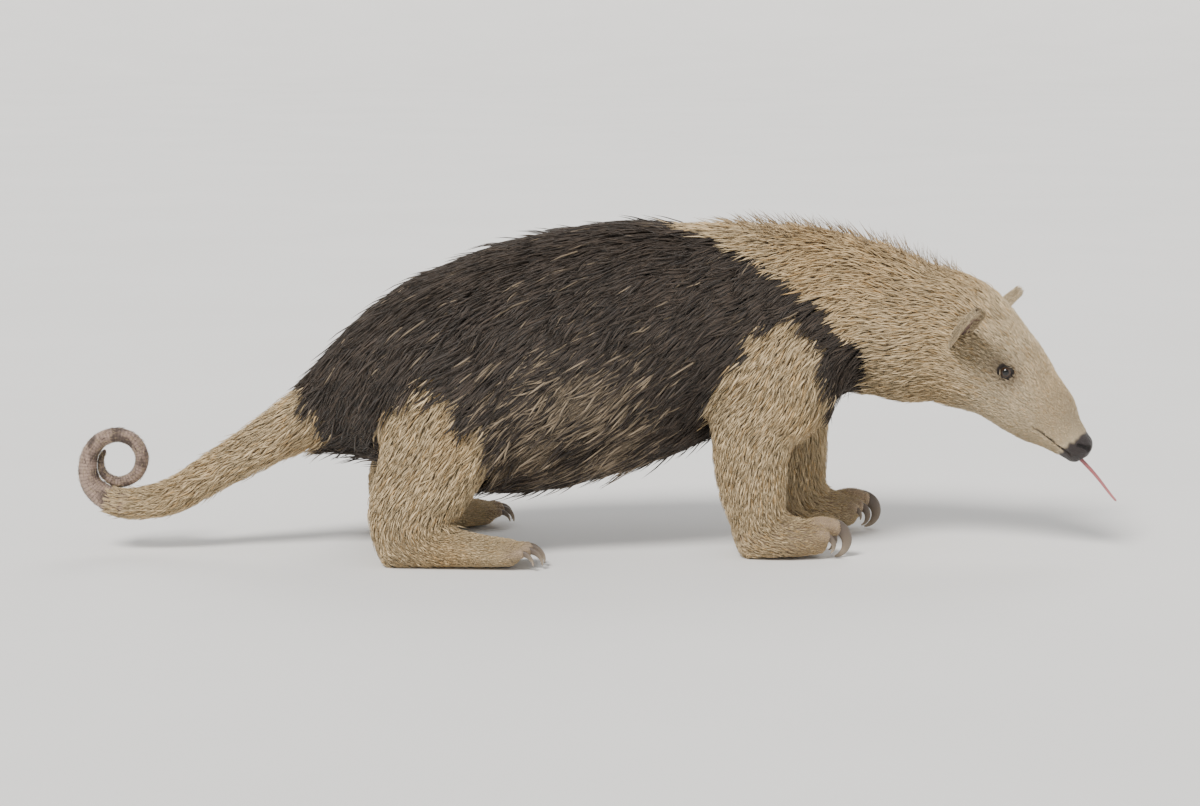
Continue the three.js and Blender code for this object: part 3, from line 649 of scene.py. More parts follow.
eye_low, eye_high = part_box("eye_right")
ORIGIN = np.array((eye_low + eye_high) / 2) - eye_frame(RIGHT)[0] / 1000


def to_frame(points):
    return points / 1000 + ORIGIN


def mesh_object(name, points, faces, material):
    """A smooth-shaded object from points in millimetres and arrays of faces."""
    mesh = bpy.data.meshes.new(name)
    corners = np.concatenate([f.ravel() for f in faces])
    sizes = np.concatenate([np.full(len(f), f.shape[1]) for f in faces])
    mesh.vertices.add(len(points))
    mesh.vertices.foreach_set("co", to_frame(points).astype(np.float32).ravel())
    mesh.loops.add(len(corners))
    mesh.loops.foreach_set("vertex_index", corners.astype(np.int32))
    mesh.polygons.add(len(sizes))
    mesh.polygons.foreach_set("loop_start", np.concatenate([[0], np.cumsum(sizes)[:-1]]).astype(np.int32))
    mesh.update(calc_edges=True)
    mesh.shade_smooth()
    mesh.materials.append(material)
    made = bpy.data.objects.new(name, mesh)
    bpy.context.scene.collection.objects.link(made)
    return made


def set_colour(mesh, name, values):
    attribute = mesh.color_attributes.new(name, "FLOAT_COLOR", "POINT")
    full = np.ones((len(mesh.vertices), 4), np.float32)
    full[:, :values.shape[1]] = values
    attribute.data.foreach_set("color", full.ravel())


def set_number(mesh, name, values):
    attribute = mesh.attributes.new(name, "FLOAT", "POINT")
    attribute.data.foreach_set("value", np.asarray(values, np.float32))


def set_uv(mesh, name, corners):
    layer = mesh.uv_layers.new(name=name)
    layer.data.foreach_set("uv", corners.astype(np.float32).ravel())


# Patches of the unwrap: left, bottom, width, height
SHEETS = np.array([
    (0.01, 0.01, 0.62, 0.48), (0.01, 0.53, 0.62, 0.12),
    *((0.01 + 0.245 * k, 0.68, 0.22, 0.15) for k in range(4)),
    *((0.01 + 0.245 * k, 0.86, 0.22, 0.12) for k in range(4)),
])
EAR_SHEETS = {LEFT: (0.66, 0.01, 0.15, 0.3), RIGHT: (0.83, 0.01, 0.15, 0.3)}
CURL_SHEET = (0.66, 0.5, 0.32, 0.15)
SHELL_SHEET = (0.02, 0.02, 0.96, 0.96)
LAST = np.array([part.last for part in PARTS])


def unwrap(part, station, angle):
    """Places on the unwrap for a part's stations and angles."""
    left, bottom, width, height = np.moveaxis(SHEETS[part], -1, 0)
    return np.stack([left + width * station / LAST[part], bottom + height * (angle + 180) / 360], axis=-1)


class Reading:
    """Where points lie on the body: each part's distance, station, angle and direction."""

    def __init__(self, points):
        found = [part.read(points) for part in PARTS]
        self.points = points
        self.distance, self.station, self.angle = (np.stack([f[k] for f in found]) for k in range(3))
        self.along = np.stack([f[3] for f in found])
        self.part = np.argmin(self.distance, axis=0)
        self.on_spine, self.on_tail = self.part == TRUNK, self.part == TAIL
        self.on_foot = self.part >= FEET.start
        self.on_leg = (self.part > TAIL) & ~self.on_foot
        self.upwards = np.sin(np.radians(self.angle[TRUNK]))

    def of(self, values):
        return np.take_along_axis(values, self.part[None], axis=0)[0]


HEAD_SPLIT = (244, 60)
# Reaches round the eyes, nostrils and mouth within which the faces are split once more, then again
FEATURE_SPLITS = ((11, 10, 19), (7.4, 6.4, 5.2))


def skin_shape(values):
    """The skin's points and triangles, finer on the head and feet and finest round the face's features."""
    points, quads = surface_net(values)
    points = settle(points, skin_distance, 1)
    mesh = bpy.data.meshes.new("skin_plan")
    mesh.from_pydata(points.tolist(), [], quads.tolist())
    bm = bmesh.new()
    bm.from_mesh(mesh)
    bpy.data.meshes.remove(mesh)
    eyes = [Vector(eye_frame(side)[0]) for side in (LEFT, RIGHT)]
    nostrils = [Vector(sum(nostril_ends(side)) / 2) for side in (LEFT, RIGHT)]
    spots = (eyes, nostrils, [Vector(MOUTH_AT)])

    def in_detail(c):
        return (c.x > HEAD_SPLIT[0] and c.z > HEAD_SPLIT[1]) or c.z < FEET_TO_Z

    def near_feature(reaches):
        rounds = [(at, reach) for group, reach in zip(spots, reaches) for at in group]
        return lambda c: any((c - at).length < reach for at, reach in rounds)

    def settle_fine():
        fine = [v for v in bm.verts if in_detail(v.co)]
        place = settle(np.array([v.co for v in fine]), detailed_distance, 3)
        for vertex, co in zip(fine, place):
            vertex.co = co

    for test in (in_detail, *(near_feature(reaches) for reaches in FEATURE_SPLITS)):
        edges = {e for f in bm.faces if test(f.calc_center_median()) for e in f.edges}
        bmesh.ops.subdivide_edges(bm, edges=list(edges), cuts=1, use_grid_fill=True)
        bmesh.ops.triangulate(bm, faces=[f for f in bm.faces if len(f.verts) > 4])
        settle_fine()
    bmesh.ops.triangulate(bm, faces=bm.faces[:])
    bm.verts.index_update()
    settle_fine()
    points = np.array([v.co for v in bm.verts])
    triangles = np.array([[v.index for v in f.verts] for f in bm.faces])
    bm.free()
    return points, triangles


def vertex_normals(points, triangles):
    """The direction out of the mesh at each point."""
    a, b, c = corners_of(points, triangles)
    faces = np.cross(b - a, c - a)
    normals = np.zeros_like(points)
    for k in range(3):
        np.add.at(normals, triangles[:, k], faces)
    return unit(normals)


# Materials


class Nodes:
    """A material's nodes, each made and joined by one call."""

    def __init__(self, name, **sockets):
        self.material = bpy.data.materials.new(name)
        self.material.use_nodes = True
        self.tree = self.material.node_tree
        self.shader = self.tree.nodes["Principled BSDF"]
        self.fill(self.shader, sockets)

    def fill(self, node, inputs):
        """Joins or sets a node's inputs, given by name or, as in i0, by number."""
        for name, value in inputs.items():
            socket = node.inputs[int(name[1:]) if name[1:].isdigit() else name.replace("_", " ")]
            if isinstance(value, bpy.types.NodeSocket):
                self.tree.links.new(value, socket)
            else:
                socket.default_value = value

    def add(self, kind, settings=None, **inputs):
        node = self.tree.nodes.new("ShaderNode" + kind)
        for name, value in (settings or {}).items():
            setattr(node, name, value)
        self.fill(node, inputs)
        return node

    def join(self, **sockets):
        """Joins the shader's inputs and gives the finished material."""
        self.fill(self.shader, sockets)
        return self.material

    def attribute(self, name, output="Fac"):
        return self.add("Attribute", {"attribute_name": name}).outputs[output]

    def math(self, operation, a, b):
        return self.add("Math", {"operation": operation}, i0=a, i1=b).outputs[0]

    def scaled(self, factor, colour):
        """The colour times a number from a socket."""
        return self.add("VectorMath", {"operation": "SCALE"}, i0=colour, i3=factor).outputs[0]

    def between(self, value, low, high, to_low, to_high):
        ends = {"From_Min": low, "From_Max": high, "To_Min": to_low, "To_Max": to_high}
        return self.add("MapRange", None, Value=value, **ends).outputs[0]

    def spread(self, noise, low, high):
        """A noise whose usual range runs from low to high."""
        return self.between(noise, 0.3, 0.7, low, high)

    def about_zero(self, noise, factor):
        return self.math("MULTIPLY", self.math("SUBTRACT", noise, 0.5), factor)

    def ramp(self, value, stops):
        node = self.add("ValToRGB", None, Fac=value)
        elements = node.color_ramp.elements
        for place, _ in stops[2:]:
            elements.new(place)
        for element, (place, colour) in zip(sorted(elements, key=lambda e: e.position), sorted(stops)):
            element.position = place
            element.color = (*colour, 1)
        return node.outputs["Color"]

    def object_place(self):
        return self.add("TexCoord").outputs["Object"]

    def uv(self, name):
        return self.add("UVMap", {"uv_map": name}).outputs[0]

    def stretched(self, uv, across, along):
        """A map's coordinates, drawn out along the coat's lie."""
        return self.add("Mapping", None, Vector=self.uv(uv), Scale=(along, across, 1)).outputs[0]

    def noise(self, scale, detail, vector=None, roughness=0.55):
        if vector is None:
            vector = self.object_place()
        node = self.add("TexNoise", None, Scale=scale, Detail=detail, Roughness=roughness, Vector=vector)
        return node.outputs["Fac"]

    def net(self, scale, vector):
        """The distance to the nearest line of a net of small cells."""
        node = self.add("TexVoronoi", {"feature": "DISTANCE_TO_EDGE"}, Scale=scale, Vector=vector)
        return node.outputs["Distance"]

    def bump(self, height, distance, strength, **under):
        return self.add("Bump", None, Height=height, Distance=distance, Strength=strength, **under).outputs[0]


def coat_material(name, roughness, sheen):
    """Locks of hair: strands run along each tuft, over patches a few centimetres wide."""
    nodes = Nodes(name, Sheen_Weight=sheen, Sheen_Roughness=0.4, Specular_IOR_Level=0.3)
    patches = nodes.spread(nodes.noise(55, 4), 0.86, 1.12)
    strands = nodes.noise(1.0, 3, nodes.stretched("strand", 7.0, 0.8), 0.6)
    shade = nodes.math("MULTIPLY", patches, nodes.between(strands, 0.32, 0.68, 0.62, 1.28))
    rough = nodes.spread(strands, roughness - 0.08, roughness + 0.1)
    return nodes.join(
        Base_Color=nodes.scaled(shade, nodes.attribute("tone", "Color")), Roughness=rough,
        Normal=nodes.bump(strands, 0.0004, 0.6))


def hide_material():
    """The skin: haired hide, the moist nose, the inside of the ears and the ringed bare tail."""
    nodes = Nodes("hide", Specular_IOR_Level=0.35, Sheen_Weight=0.05)
    wet, scaly = nodes.attribute("wet"), nodes.attribute("scaly")
    streaks = nodes.noise(1.0, 4, nodes.stretched("lay", 1.9, 0.22), 0.65)
    mottle = nodes.spread(nodes.noise(90, 5), 0.8, 1.15)
    shade = nodes.math("MULTIPLY", mottle, nodes.spread(streaks, 0.78, 1.16))
    tone = nodes.scaled(shade, nodes.attribute("tone", "Color"))
    pebbles = nodes.math("MINIMUM", nodes.net(900.0, nodes.object_place()), 0.22)
    plates = nodes.math("MINIMUM", nodes.net(0.62, nodes.uv("lay")), 0.18)
    haired = nodes.bump(streaks, 0.0006, 0.8)
    moist = nodes.bump(pebbles, 0.0009, wet, Normal=haired)
    scaled = nodes.bump(plates, 0.0016, scaly, Normal=moist)
    rough = nodes.between(mottle, 0.8, 1.15, 0.72, 0.84)
    rough = nodes.math("SUBTRACT", rough, nodes.math("MULTIPLY", wet, 0.42))
    rough = nodes.math("SUBTRACT", rough, nodes.math("MULTIPLY", scaly, 0.14))
    return nodes.join(Base_Color=tone, Roughness=rough, Normal=scaled)


def eye_material():
    nodes = Nodes("eyeball", Roughness=0.1, Coat_Weight=0.6, Coat_Roughness=0.03, Specular_IOR_Level=0.3)
    fibres = nodes.about_zero(nodes.noise(900, 3), 0.08)
    return nodes.join(Base_Color=nodes.ramp(nodes.math("ADD", nodes.attribute("ring"), fibres), [
        (0.0, (0.002, 0.002, 0.002)), (0.30, (0.002, 0.002, 0.002)), (0.36, (0.030, 0.015, 0.007)),
        (0.66, (0.045, 0.022, 0.010)), (0.78, (0.008, 0.005, 0.004)), (1.0, (0.05, 0.04, 0.035))]))


def claw_material():
    nodes = Nodes("horn", Specular_IOR_Level=0.5, Coat_Weight=0.15, Coat_Roughness=0.25)
    streaks = nodes.noise(1.0, 4, nodes.stretched("OFBake", 2600.0, 160.0), 0.6)
    share = nodes.math("ADD", nodes.attribute("ring"), nodes.about_zero(streaks, 0.5))
    colour = nodes.ramp(share, [
        (0.0, (0.060, 0.043, 0.032)), (0.25, (0.105, 0.078, 0.058)),
        (0.65, (0.20, 0.155, 0.112)), (1.0, (0.37, 0.30, 0.22))])
    rough = nodes.spread(streaks, 0.33, 0.55)
    return nodes.join(Base_Color=colour, Roughness=rough, Normal=nodes.bump(streaks, 0.0003, 0.7))


def tongue_material():
    nodes = Nodes(
        "tongue_skin", Coat_Weight=0.5, Coat_Roughness=0.15, Subsurface_Weight=0.15, Subsurface_Scale=0.002)
    grain = nodes.noise(700, 4)
    share = nodes.math("ADD", nodes.attribute("ring"), nodes.about_zero(grain, 0.4))
    colour = nodes.ramp(share, [
        (0.0, (0.22, 0.05, 0.055)), (0.5, (0.36, 0.105, 0.11)), (1.0, (0.46, 0.17, 0.17))])
    rough = nodes.spread(grain, 0.22, 0.4)
    return nodes.join(Base_Color=colour, Roughness=rough, Normal=nodes.bump(grain, 0.0002, 0.6))


# Markings, as linear red, green and blue

BLACK_COAT = np.array([0.020, 0.0145, 0.011])
BLACK_TIP = np.array([0.050, 0.036, 0.026])
GRIZZLE = np.array([0.235, 0.180, 0.120])
PALE_COAT = np.array([0.640, 0.490, 0.290])
PALE_FACE = np.array([0.690, 0.560, 0.370])
GOLDEN = np.array([0.560, 0.385, 0.190])
UPRIGHT_TIP = np.array([0.150, 0.095, 0.050])
# The face's darker colour: the eye patches' own marking, with painted shade on them and on the snout's top
DARK_FACE_AND_PAINTED_SHADE = np.array([0.150, 0.098, 0.060])
LID_SKIN = np.array([0.026, 0.018, 0.015])
# Near black painted into the nostril pits as their shade
NOSTRIL_PAINTED_SHADE = np.array([0.010, 0.008, 0.008])
# Painted shade deep in the ear's cup
EAR_HOLLOW_SHADE = np.array([0.034, 0.020, 0.016])
NOSE_SKIN = np.array([0.030, 0.022, 0.021])
EAR_SKIN = np.array([0.230, 0.140, 0.108])
TAIL_SKIN = np.array([0.400, 0.285, 0.225])
TAIL_BLOTCH = np.array([0.085, 0.060, 0.050])
PAW_SKIN = np.array([0.230, 0.165, 0.125])

edge_ripple, leg_ripple = Ripple(26, 1), Ripple(18, 2)
patch_ripple, blotch_ripple = Ripple(60, 3), Ripple(13, 4)


def blend(a, b, share):
    return a + (b - a) * np.asarray(share)[..., None]


def vest_mask(reading):
    """1 in the black vest, 0 on the pale head, legs and tail."""
    points = reading.points
    x, y, z = points.T
    cape = 22 * bell(y, 13) * smooth(180, 215, z)
    strap = 13 * bell(z - 132, 34)
    behind = smooth(-3, 5, vest_reach(points) - cape + strap + 4 * edge_ripple(points))
    before_leg = 7 * smooth(148, 158, x) * smooth(82, 98, z)
    limb_gap = reading.distance[LEGS.start:FEET.stop].min(axis=0)
    legs = smooth(1.5, 6.5, limb_gap + before_leg + 1.8 * leg_ripple(points))
    tail_root = np.where(reading.station[TAIL] > 0.02, reading.distance[TAIL], 30)
    tail_clear = smooth(1.2, 8, tail_root + 1.6 * leg_ripple(points)) * smooth(-226, -212, x)
    return behind * legs * tail_clear * smooth(36, 43, z)


def nose_mask(reading):
    """1 on the bare nose at the snout's tip."""
    station = reading.station[TRUNK] + 0.05 * leg_ripple(reading.points * 4)
    low = 0.18 * smooth(-0.9, 0.3, -reading.upwards)
    return reading.on_spine * smooth(16.62, 16.86, station + low)


def lid_ring(points, side, margin):
    """Below 1 inside the eye's opening widened by a margin."""
    ahead, above, outwards, away = from_eye(points, side)
    ring = np.hypot(ahead / (EYE["wide"] + margin), above / (EYE["high"] + margin))
    return np.where((outwards > 0) & (away < 12), ring, 9)


def pale_tone(reading):
    """The pale coat's colour, golden in patches, with a darker patch round the eyes that is partly its own
    marking and partly painted shade, and painted shade on the top of the snout's bridge.
    """
    station = reading.station[TRUNK]
    on_head = reading.on_spine * smooth(11, 13.5, station)
    tone = blend(PALE_COAT, PALE_FACE, on_head)
    nape = reading.on_spine * band(6.5, 8, 10.5, 12, station) * smooth(0.2, 1, reading.upwards)
    tone = blend(tone, GOLDEN, np.clip(0.55 * nape + 0.28 * patch_ripple(reading.points), 0, 0.8))
    # Painted shade: the top of the snout darkens towards its tip
    shade = 0.22 * on_head * smooth(14, 16.4, station) * smooth(0.1, 0.9, reading.upwards)
    # A darker patch round each eye, partly the animal's own marking and partly painted shade
    for side in (LEFT, RIGHT):
        ahead, above, outwards, _ = from_eye(reading.points, side)
        mask = np.hypot(np.where(ahead > 0, ahead / 15, ahead / 11), above / 8.5)
        shade = shade + 0.62 * bell(mask, 1, 3) * (outwards > -6)
    return blend(tone, DARK_FACE_AND_PAINTED_SHADE, np.clip(shade, 0, 0.8))


def grizzle_share(reading):
    """How many of the vest's tufts are pale, greatest on the flank."""
    x, _, z = reading.points.T
    flank = band(-92, -58, 22, 66, x) * band(50, 78, 112, 168, z)
    return np.clip(flank * (0.66 + 0.35 * patch_ripple(reading.points)), 0, 0.8) + 0.02


def skin_tone(reading, vest):
    """The hide's colour under the coat, near the coat's own."""
    pale = pale_tone(reading) * 0.72
    dark = blend(BLACK_COAT, GRIZZLE, 0.25 * grizzle_share(reading))
    tone = blend(pale, dark, vest)
    wet = nose_mask(reading)
    tone = blend(tone, NOSE_SKIN, wet)
    for side in (LEFT, RIGHT):
        tone = blend(tone, LID_SKIN, 1 - smooth(0.92, 1.12, lid_ring(reading.points, side, EYE["lid"])))
        away, share = from_lips(reading.points, side)
        tone = blend(tone, LID_SKIN, (1 - smooth(0.7, 1.5, away)) * smooth(0.1, 0.5, share))
        # Painted shade: the shallow nostril pits are coloured near black to stand for their depth
        tone = blend(tone, NOSTRIL_PAINTED_SHADE, nostril_pit(reading.points, side))
    toes = smooth(2.75, 3.0, reading.station[FEET].max(axis=0)) * reading.on_foot
    return blend(tone, PAW_SKIN, 0.7 * toes), wet


# The skin, with its ears and the bare end of the tail


def ear_frame(side):
    point, out, along = (v[0] for v in spine.place(EAR["at"], side_angle(side, EAR["angle"]), -EAR["root"]))
    left, up = (v[0] for v in spine.frame(EAR["at"])[2:4])
    ahead = level(along)
    rise = unit(ahead * EAR["rise"][0] + left * EAR["rise"][1] * side + up * EAR["rise"][2])
    open_way = square_to(ahead * EAR["turn_ahead"] + out, rise)
    return point, rise, open_way, np.cross(rise, open_way)


def ear_points(side, u, v, facing):
    """Points of the ear's cup: u from root to tip, v across, facing 1 inside the cup and -1 outside."""
    point, rise, open_way, across = ear_frame(side)
    rounding = np.sqrt(np.maximum(EAR["blunt"], 1 - u ** EAR["roundness"]))
    half = (EAR["root_half"] + (EAR["tip_half"] - EAR["root_half"]) * u) * rounding
    wall = EAR["wall_root"] + (EAR["wall_tip"] - EAR["wall_root"]) * u
    wall = wall * np.sqrt(np.clip(1.04 - v**4, 0, 1))
    curl = EAR["cup"] * (v * v - 0.45) * np.sin(np.pi * (0.18 + 0.62 * u))
    ridges = 1.1 * bell(v + 0.4, 0.15) + 0.8 * bell(v - 0.25, 0.13)
    lift = curl + facing * wall + (facing > 0) * (ridges * np.clip(1 - u, 0, 1)**0.7)
    return (point + rise * (EAR["length"] * u)[..., None] + across * (half * v)[..., None]
            + open_way * lift[..., None])


EAR_ROWS, EAR_COLUMNS = 30, 22


def ear_shell(side):
    """The cup as a closed surface of rings from root to tip, and each point's u, v and facing."""
    u = 1 - (1 - np.linspace(0, 1, EAR_ROWS)) ** 1.5
    v = np.sin(np.linspace(-1, 1, EAR_COLUMNS) * np.pi / 2)
    uu, vv = np.meshgrid(u, np.concatenate([v, v[::-1]]), indexing="ij")
    facing = np.broadcast_to(np.repeat([1.0, -1.0], EAR_COLUMNS), uu.shape)
    return close_rings(ear_points(side, uu, vv, facing)), (uu, vv, facing)


def ring_quads(count, sides):
    """Quads between rings of points, each ring joined to the next."""
    i, j = np.meshgrid(np.arange(count - 1), np.arange(sides), indexing="ij")
    low, high, after = i * sides, (i + 1) * sides, (j + 1) % sides
    return np.stack([low + j, low + after, high + after, high + j], -1).reshape(-1, 4)


def close_rings(rings):
    """A closed surface: points, quads between the rings and a fan of triangles at each end."""
    count, sides = rings.shape[:2]
    points = np.vstack([rings.reshape(-1, 3), rings[0].mean(0), rings[-1].mean(0)])
    quads = ring_quads(count, sides)
    k = np.arange(sides)
    last = (count - 1) * sides
    start = np.stack([np.full(sides, count * sides), (k + 1) % sides, k], -1)
    end = np.stack([np.full(sides, count * sides + 1), last + k, last + (k + 1) % sides], -1)
    triangles = np.vstack([start, end])
    if not facing_out(points, np.vstack([quads[:, :3], quads[:, [0, 2, 3]], triangles])):
        quads, triangles = quads[:, ::-1], triangles[:, ::-1]
    return points, quads, triangles


def even_stations(tube, start, end, pace):
    """Stations at an even pace in millimetres along a tube."""
    fine = np.linspace(start, end, 2000)
    centres = tube.frame(fine)[0]
    run = np.concatenate([[0], np.cumsum(np.linalg.norm(np.diff(centres, axis=0), axis=1))])
    return np.interp(np.linspace(0, run[-1], int(run[-1] / pace)), run, fine), run[-1]


# groove: how much the painted shade darkens the grooves between the rings
RING = {"pace": 0.55, "period": 2.2, "height": 0.42, "sides": 28, "groove": 0.5, "size": 9.0}
CAP_STEPS = np.array([0.4, 0.75, 0.95])


def curl_shell():
    """The bare, ringed end of the tail, each ring of scales lapping the next."""
    stations, length = even_stations(tail, BARE_FROM - 0.25, tail.last, RING["pace"])
    run = np.linspace(0, length, len(stations))
    centre, along, side, up, size = tail.frame(stations)
    phase = (run / RING["period"]) % 1
    height = RING["height"] * size[:, :1] / RING["size"]
    lap = height * (phase - 0.75 * smooth(0.8, 1.0, phase))[:, None]
    start = 0.6 * (1 - smooth(0, 6, run))[:, None]
    angle = np.linspace(0, 2 * np.pi, RING["sides"], endpoint=False)
    radius = size[:, :1] - 0.15 + lap - start
    rings = (centre[:, None] + side[:, None] * (radius * np.cos(angle))[..., None]
             + up[:, None] * (radius * np.sin(angle))[..., None])
    tip = size[-1, 0]
    end = rings[-1] - centre[-1]
    caps = [centre[-1] + along[-1] * tip * k + end * math.sqrt(1 - k * k) for k in CAP_STEPS]
    rings = np.concatenate([rings, np.array(caps)])
    run = np.concatenate([run, run[-1] + tip * CAP_STEPS])
    # Painted shade in the grooves between the rings; the tip's caps are a little darker
    shade = 1 - (1 - RING["groove"]) * bell(np.minimum(phase, 1 - phase), 0.14)
    return close_rings(rings), run, angle, np.append(shade, np.full(len(CAP_STEPS), 0.8))


def corner_maps(reading, triangles):
    """Each corner's place on the unwrap, and its millimetres along and round the part."""
    part = np.argmin(reading.distance[:, triangles].mean(axis=2), axis=0)
    station = reading.station[part[:, None], triangles]
    angle = reading.angle[part[:, None], triangles]
    angle = (angle - angle[:, :1] + 180) % 360 - 180 + angle[:, :1]
    flat = unwrap(part[:, None], station, angle)
    length = np.array([np.sum(p.pace) for p in PARTS])
    girth = np.array([2 * np.pi * p.packed[:, 12:14].mean() for p in PARTS])
    run = station / LAST[part][:, None] * length[part][:, None]
    return flat, np.stack([run, angle / 360 * girth[part][:, None]], axis=-1)


def sheet_map(sheet, across, up):
    left, bottom, width, height = sheet
    return np.stack([left + width * across, bottom + height * up], axis=-1)


FLESH = ["torso", "neck", "head", "nose_pad", "ear_left", "ear_right"]
FLESH += ["tail_base", "tail_middle", "tail_curl", "tail_tip"]
FLESH += [f"{limb.name}_{half}" for limb in limbs for half in ("upper", "lower")]
FLESH += [limb.foot_name for limb in limbs]


def shell_patch(shell, tone, scaly, flat, lay):
    """A closed shell as a patch of the skin, with its colours, its scales and its places on two maps."""
    points, *faces = shell
    corners = np.concatenate([group.ravel() for group in faces])
    number = np.ones(len(points))
    return {"points": points, "faces": faces, "tone": tone, "wet": 0 * number, "scaly": scaly * number,
            "OFBake": flat[corners], "lay": lay[corners]}


def with_ends(grid):
    """A grid's rows as a list, and its first and last again for the middles of the two ends."""
    grid = grid.reshape(-1, 2)
    return np.vstack([grid, grid[:1], grid[-1:]])


def ear_patch(side):
    shell, (u, v, facing) = ear_shell(side)
    inner = smooth(-0.2, 0.6, facing) * (1 - smooth(0.86, 1.0, np.abs(v)))
    # The ear's own inner skin, with painted shade darkening it towards the root of the cup
    lining_and_shade = blend(EAR_SKIN, EAR_HOLLOW_SHADE, (1 - smooth(0.1, 0.75, u)) * (1 - 0.5 * v**2))
    colours = PALE_FACE * 0.6 + (lining_and_shade - PALE_FACE * 0.6) * inner[..., None]
    colours = np.vstack([colours.reshape(-1, 3), EAR_SKIN, PALE_FACE * 0.7])
    grid = with_ends(np.stack([(v + 1) / 4 + (facing < 0) * 0.5, u], axis=-1))
    flat = sheet_map(EAR_SHEETS[side], grid[:, 0], grid[:, 1])
    return shell_patch(shell, colours, 0.0, flat, grid * EAR["length"])


def curl_patch():
    shell, run, angle, shade = curl_shell()
    blotch = smooth(-0.1, 0.7, blotch_ripple(shell[0]) + 0.4 * patch_ripple(shell[0] * 2))
    colours = blend(TAIL_SKIN, TAIL_BLOTCH, 0.8 * blotch)
    # The rings' painted shade darkens the colour in the grooves
    colours = colours * np.append(np.repeat(shade, len(angle)), [1, 1])[:, None]
    grid = with_ends(np.stack(np.meshgrid(run, np.arange(len(angle)) * 1.6, indexing="ij"), axis=-1))
    flat = sheet_map(CURL_SHEET, *(grid / grid.max(axis=0)).T)
    return shell_patch(shell, colours, 1.0, flat, grid)


def make_skin(points, triangles, reading, vest, material):
    tone, wet = skin_tone(reading, vest)
    flat, lay = (corners.reshape(-1, 2) for corners in corner_maps(reading, triangles))
    body = {"points": points, "faces": [triangles], "tone": tone, "wet": wet, "scaly": np.zeros(len(points)),
            "OFBake": flat, "lay": lay}
    patches = [body, ear_patch(LEFT), ear_patch(RIGHT), curl_patch()]
    whole = {key: np.concatenate([patch[key] for patch in patches]) for key in body if key != "faces"}
    starts = np.cumsum([0] + [len(patch["points"]) for patch in patches])
    faces = [group + start for patch, start in zip(patches, starts) for group in patch["faces"]]
    skin = mesh_object("skin", whole["points"], faces, material)
    set_colour(skin.data, "tone", whole["tone"])
    for name in ("wet", "scaly"):
        set_number(skin.data, name, whole[name])
    for name in ("OFBake", "lay"):
        set_uv(skin.data, name, whole[name])
    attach(skin, "root")
    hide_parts(*FLESH)


# Eyes, claws and the tongue


def shell_object(name, rings, material, ring, node):
    """A closed loft of rings that stands for one CAD node."""
    count, sides = rings.shape[:2]
    points, quads, ends = close_rings(rings)
    made = mesh_object(name, points, [quads, ends], material)
    set_number(made.data, "ring", np.append(np.repeat(ring, sides), [ring[0], ring[-1]]))
    grid = np.stack(np.meshgrid(np.linspace(0, 1, count), np.arange(sides) / sides, indexing="ij"), -1)
    grid = np.vstack([grid.reshape(-1, 2), [[0, 0.5], [1, 0.5]]])
    plan = sheet_map(SHELL_SHEET, grid[:, 0], grid[:, 1])
    set_uv(made.data, "OFBake", plan[np.concatenate([quads.ravel(), ends.ravel()])])
    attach(made, "root")
    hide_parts(node)


def make_eye(word, side, material):
    centre, along, up, out = eye_frame(side)
    theta = np.linspace(0.03, np.pi - 0.03, 40)
    phi = np.linspace(0, 2 * np.pi, 48, endpoint=False)
    cornea = 1 + 0.035 * np.exp(-(theta / 0.62)**4)
    radius = EYE["radius"] * cornea
    rings = (centre + out * (radius * np.cos(theta))[:, None, None]
             + (radius * np.sin(theta))[:, None, None]
             * (along * np.cos(phi)[:, None] + up * np.sin(phi)[:, None]))
    shell_object(f"eyeball_{word}", rings, material, np.clip(theta / 1.15, 0, 1), f"eye_{word}")


def make_claw(name, digit, material):
    """A hooked claw, oval with a keel along its outer curve and a groove beneath, sunk into its toe."""
    tangent = unit(np.gradient(digit.nail, axis=0))
    left = digit.level
    outer = unit(np.cross(left, tangent))
    if outer[0][2] < 0:
        outer = -outer
    size = digit.thick * (1 - 0.86 * digit.share**1.5)
    phi = np.linspace(0, 2 * np.pi, 20, endpoint=False)
    depth = np.where(np.sin(phi) > 0, 1.04 * np.abs(np.sin(phi))**0.9, -0.82 * np.abs(np.sin(phi))**0.7)
    depth = depth + 0.2 * np.exp(-((phi - 1.5 * np.pi) / 0.35)**2)
    width = CLAW_WIDTH_SHARE * np.cos(phi) * np.where(np.sin(phi) > 0, 1, 0.94)
    rings = (digit.nail[:, None] + outer[:, None] * (size[:, None] * depth)[..., None]
             + left * (size[:, None] * width)[..., None])
    rings[..., 2] = np.maximum(rings[..., 2], SOLE)
    shell_object(name, rings, material, digit.share, name.replace("nail", "claw"))


def make_tongue(material):
    centre, along, _, up, _ = (v[0] for v in spine.frame(SNOUT))
    start = centre - up * TONGUE["low"] + along * (MOUTH["ahead"] - TONGUE["root"])
    way = unit(along + np.array(TONGUE["turn"]))
    reach = TONGUE["length"] + TONGUE["root"]
    share = np.linspace(0, 1, 46)
    taper = TONGUE["radius"] + (TONGUE["tip"] - TONGUE["radius"]) * share
    taper = taper * np.sqrt(np.clip(1 - np.clip((share - 0.965) / 0.036, 0, 1)**2, 0.02, 1))
    side = unit(np.cross(way, up))
    above = np.cross(side, way)
    sway = above * (1.1 * np.sin(share * np.pi * 1.6) * share)[:, None]
    phi = np.linspace(0, 2 * np.pi, 20, endpoint=False)
    groove = 1 - 0.22 * np.exp(-((phi - np.pi / 2) / 0.45)**2)
    rings = ((start + way * (reach * share)[:, None] + sway)[:, None]
             + side * (taper[:, None] * np.cos(phi))[..., None]
             + above * (taper[:, None] * TONGUE["flat"] * np.sin(phi) * groove)[..., None])
    shell_object("tongue_out", rings, material, share, "tongue")


# The coat

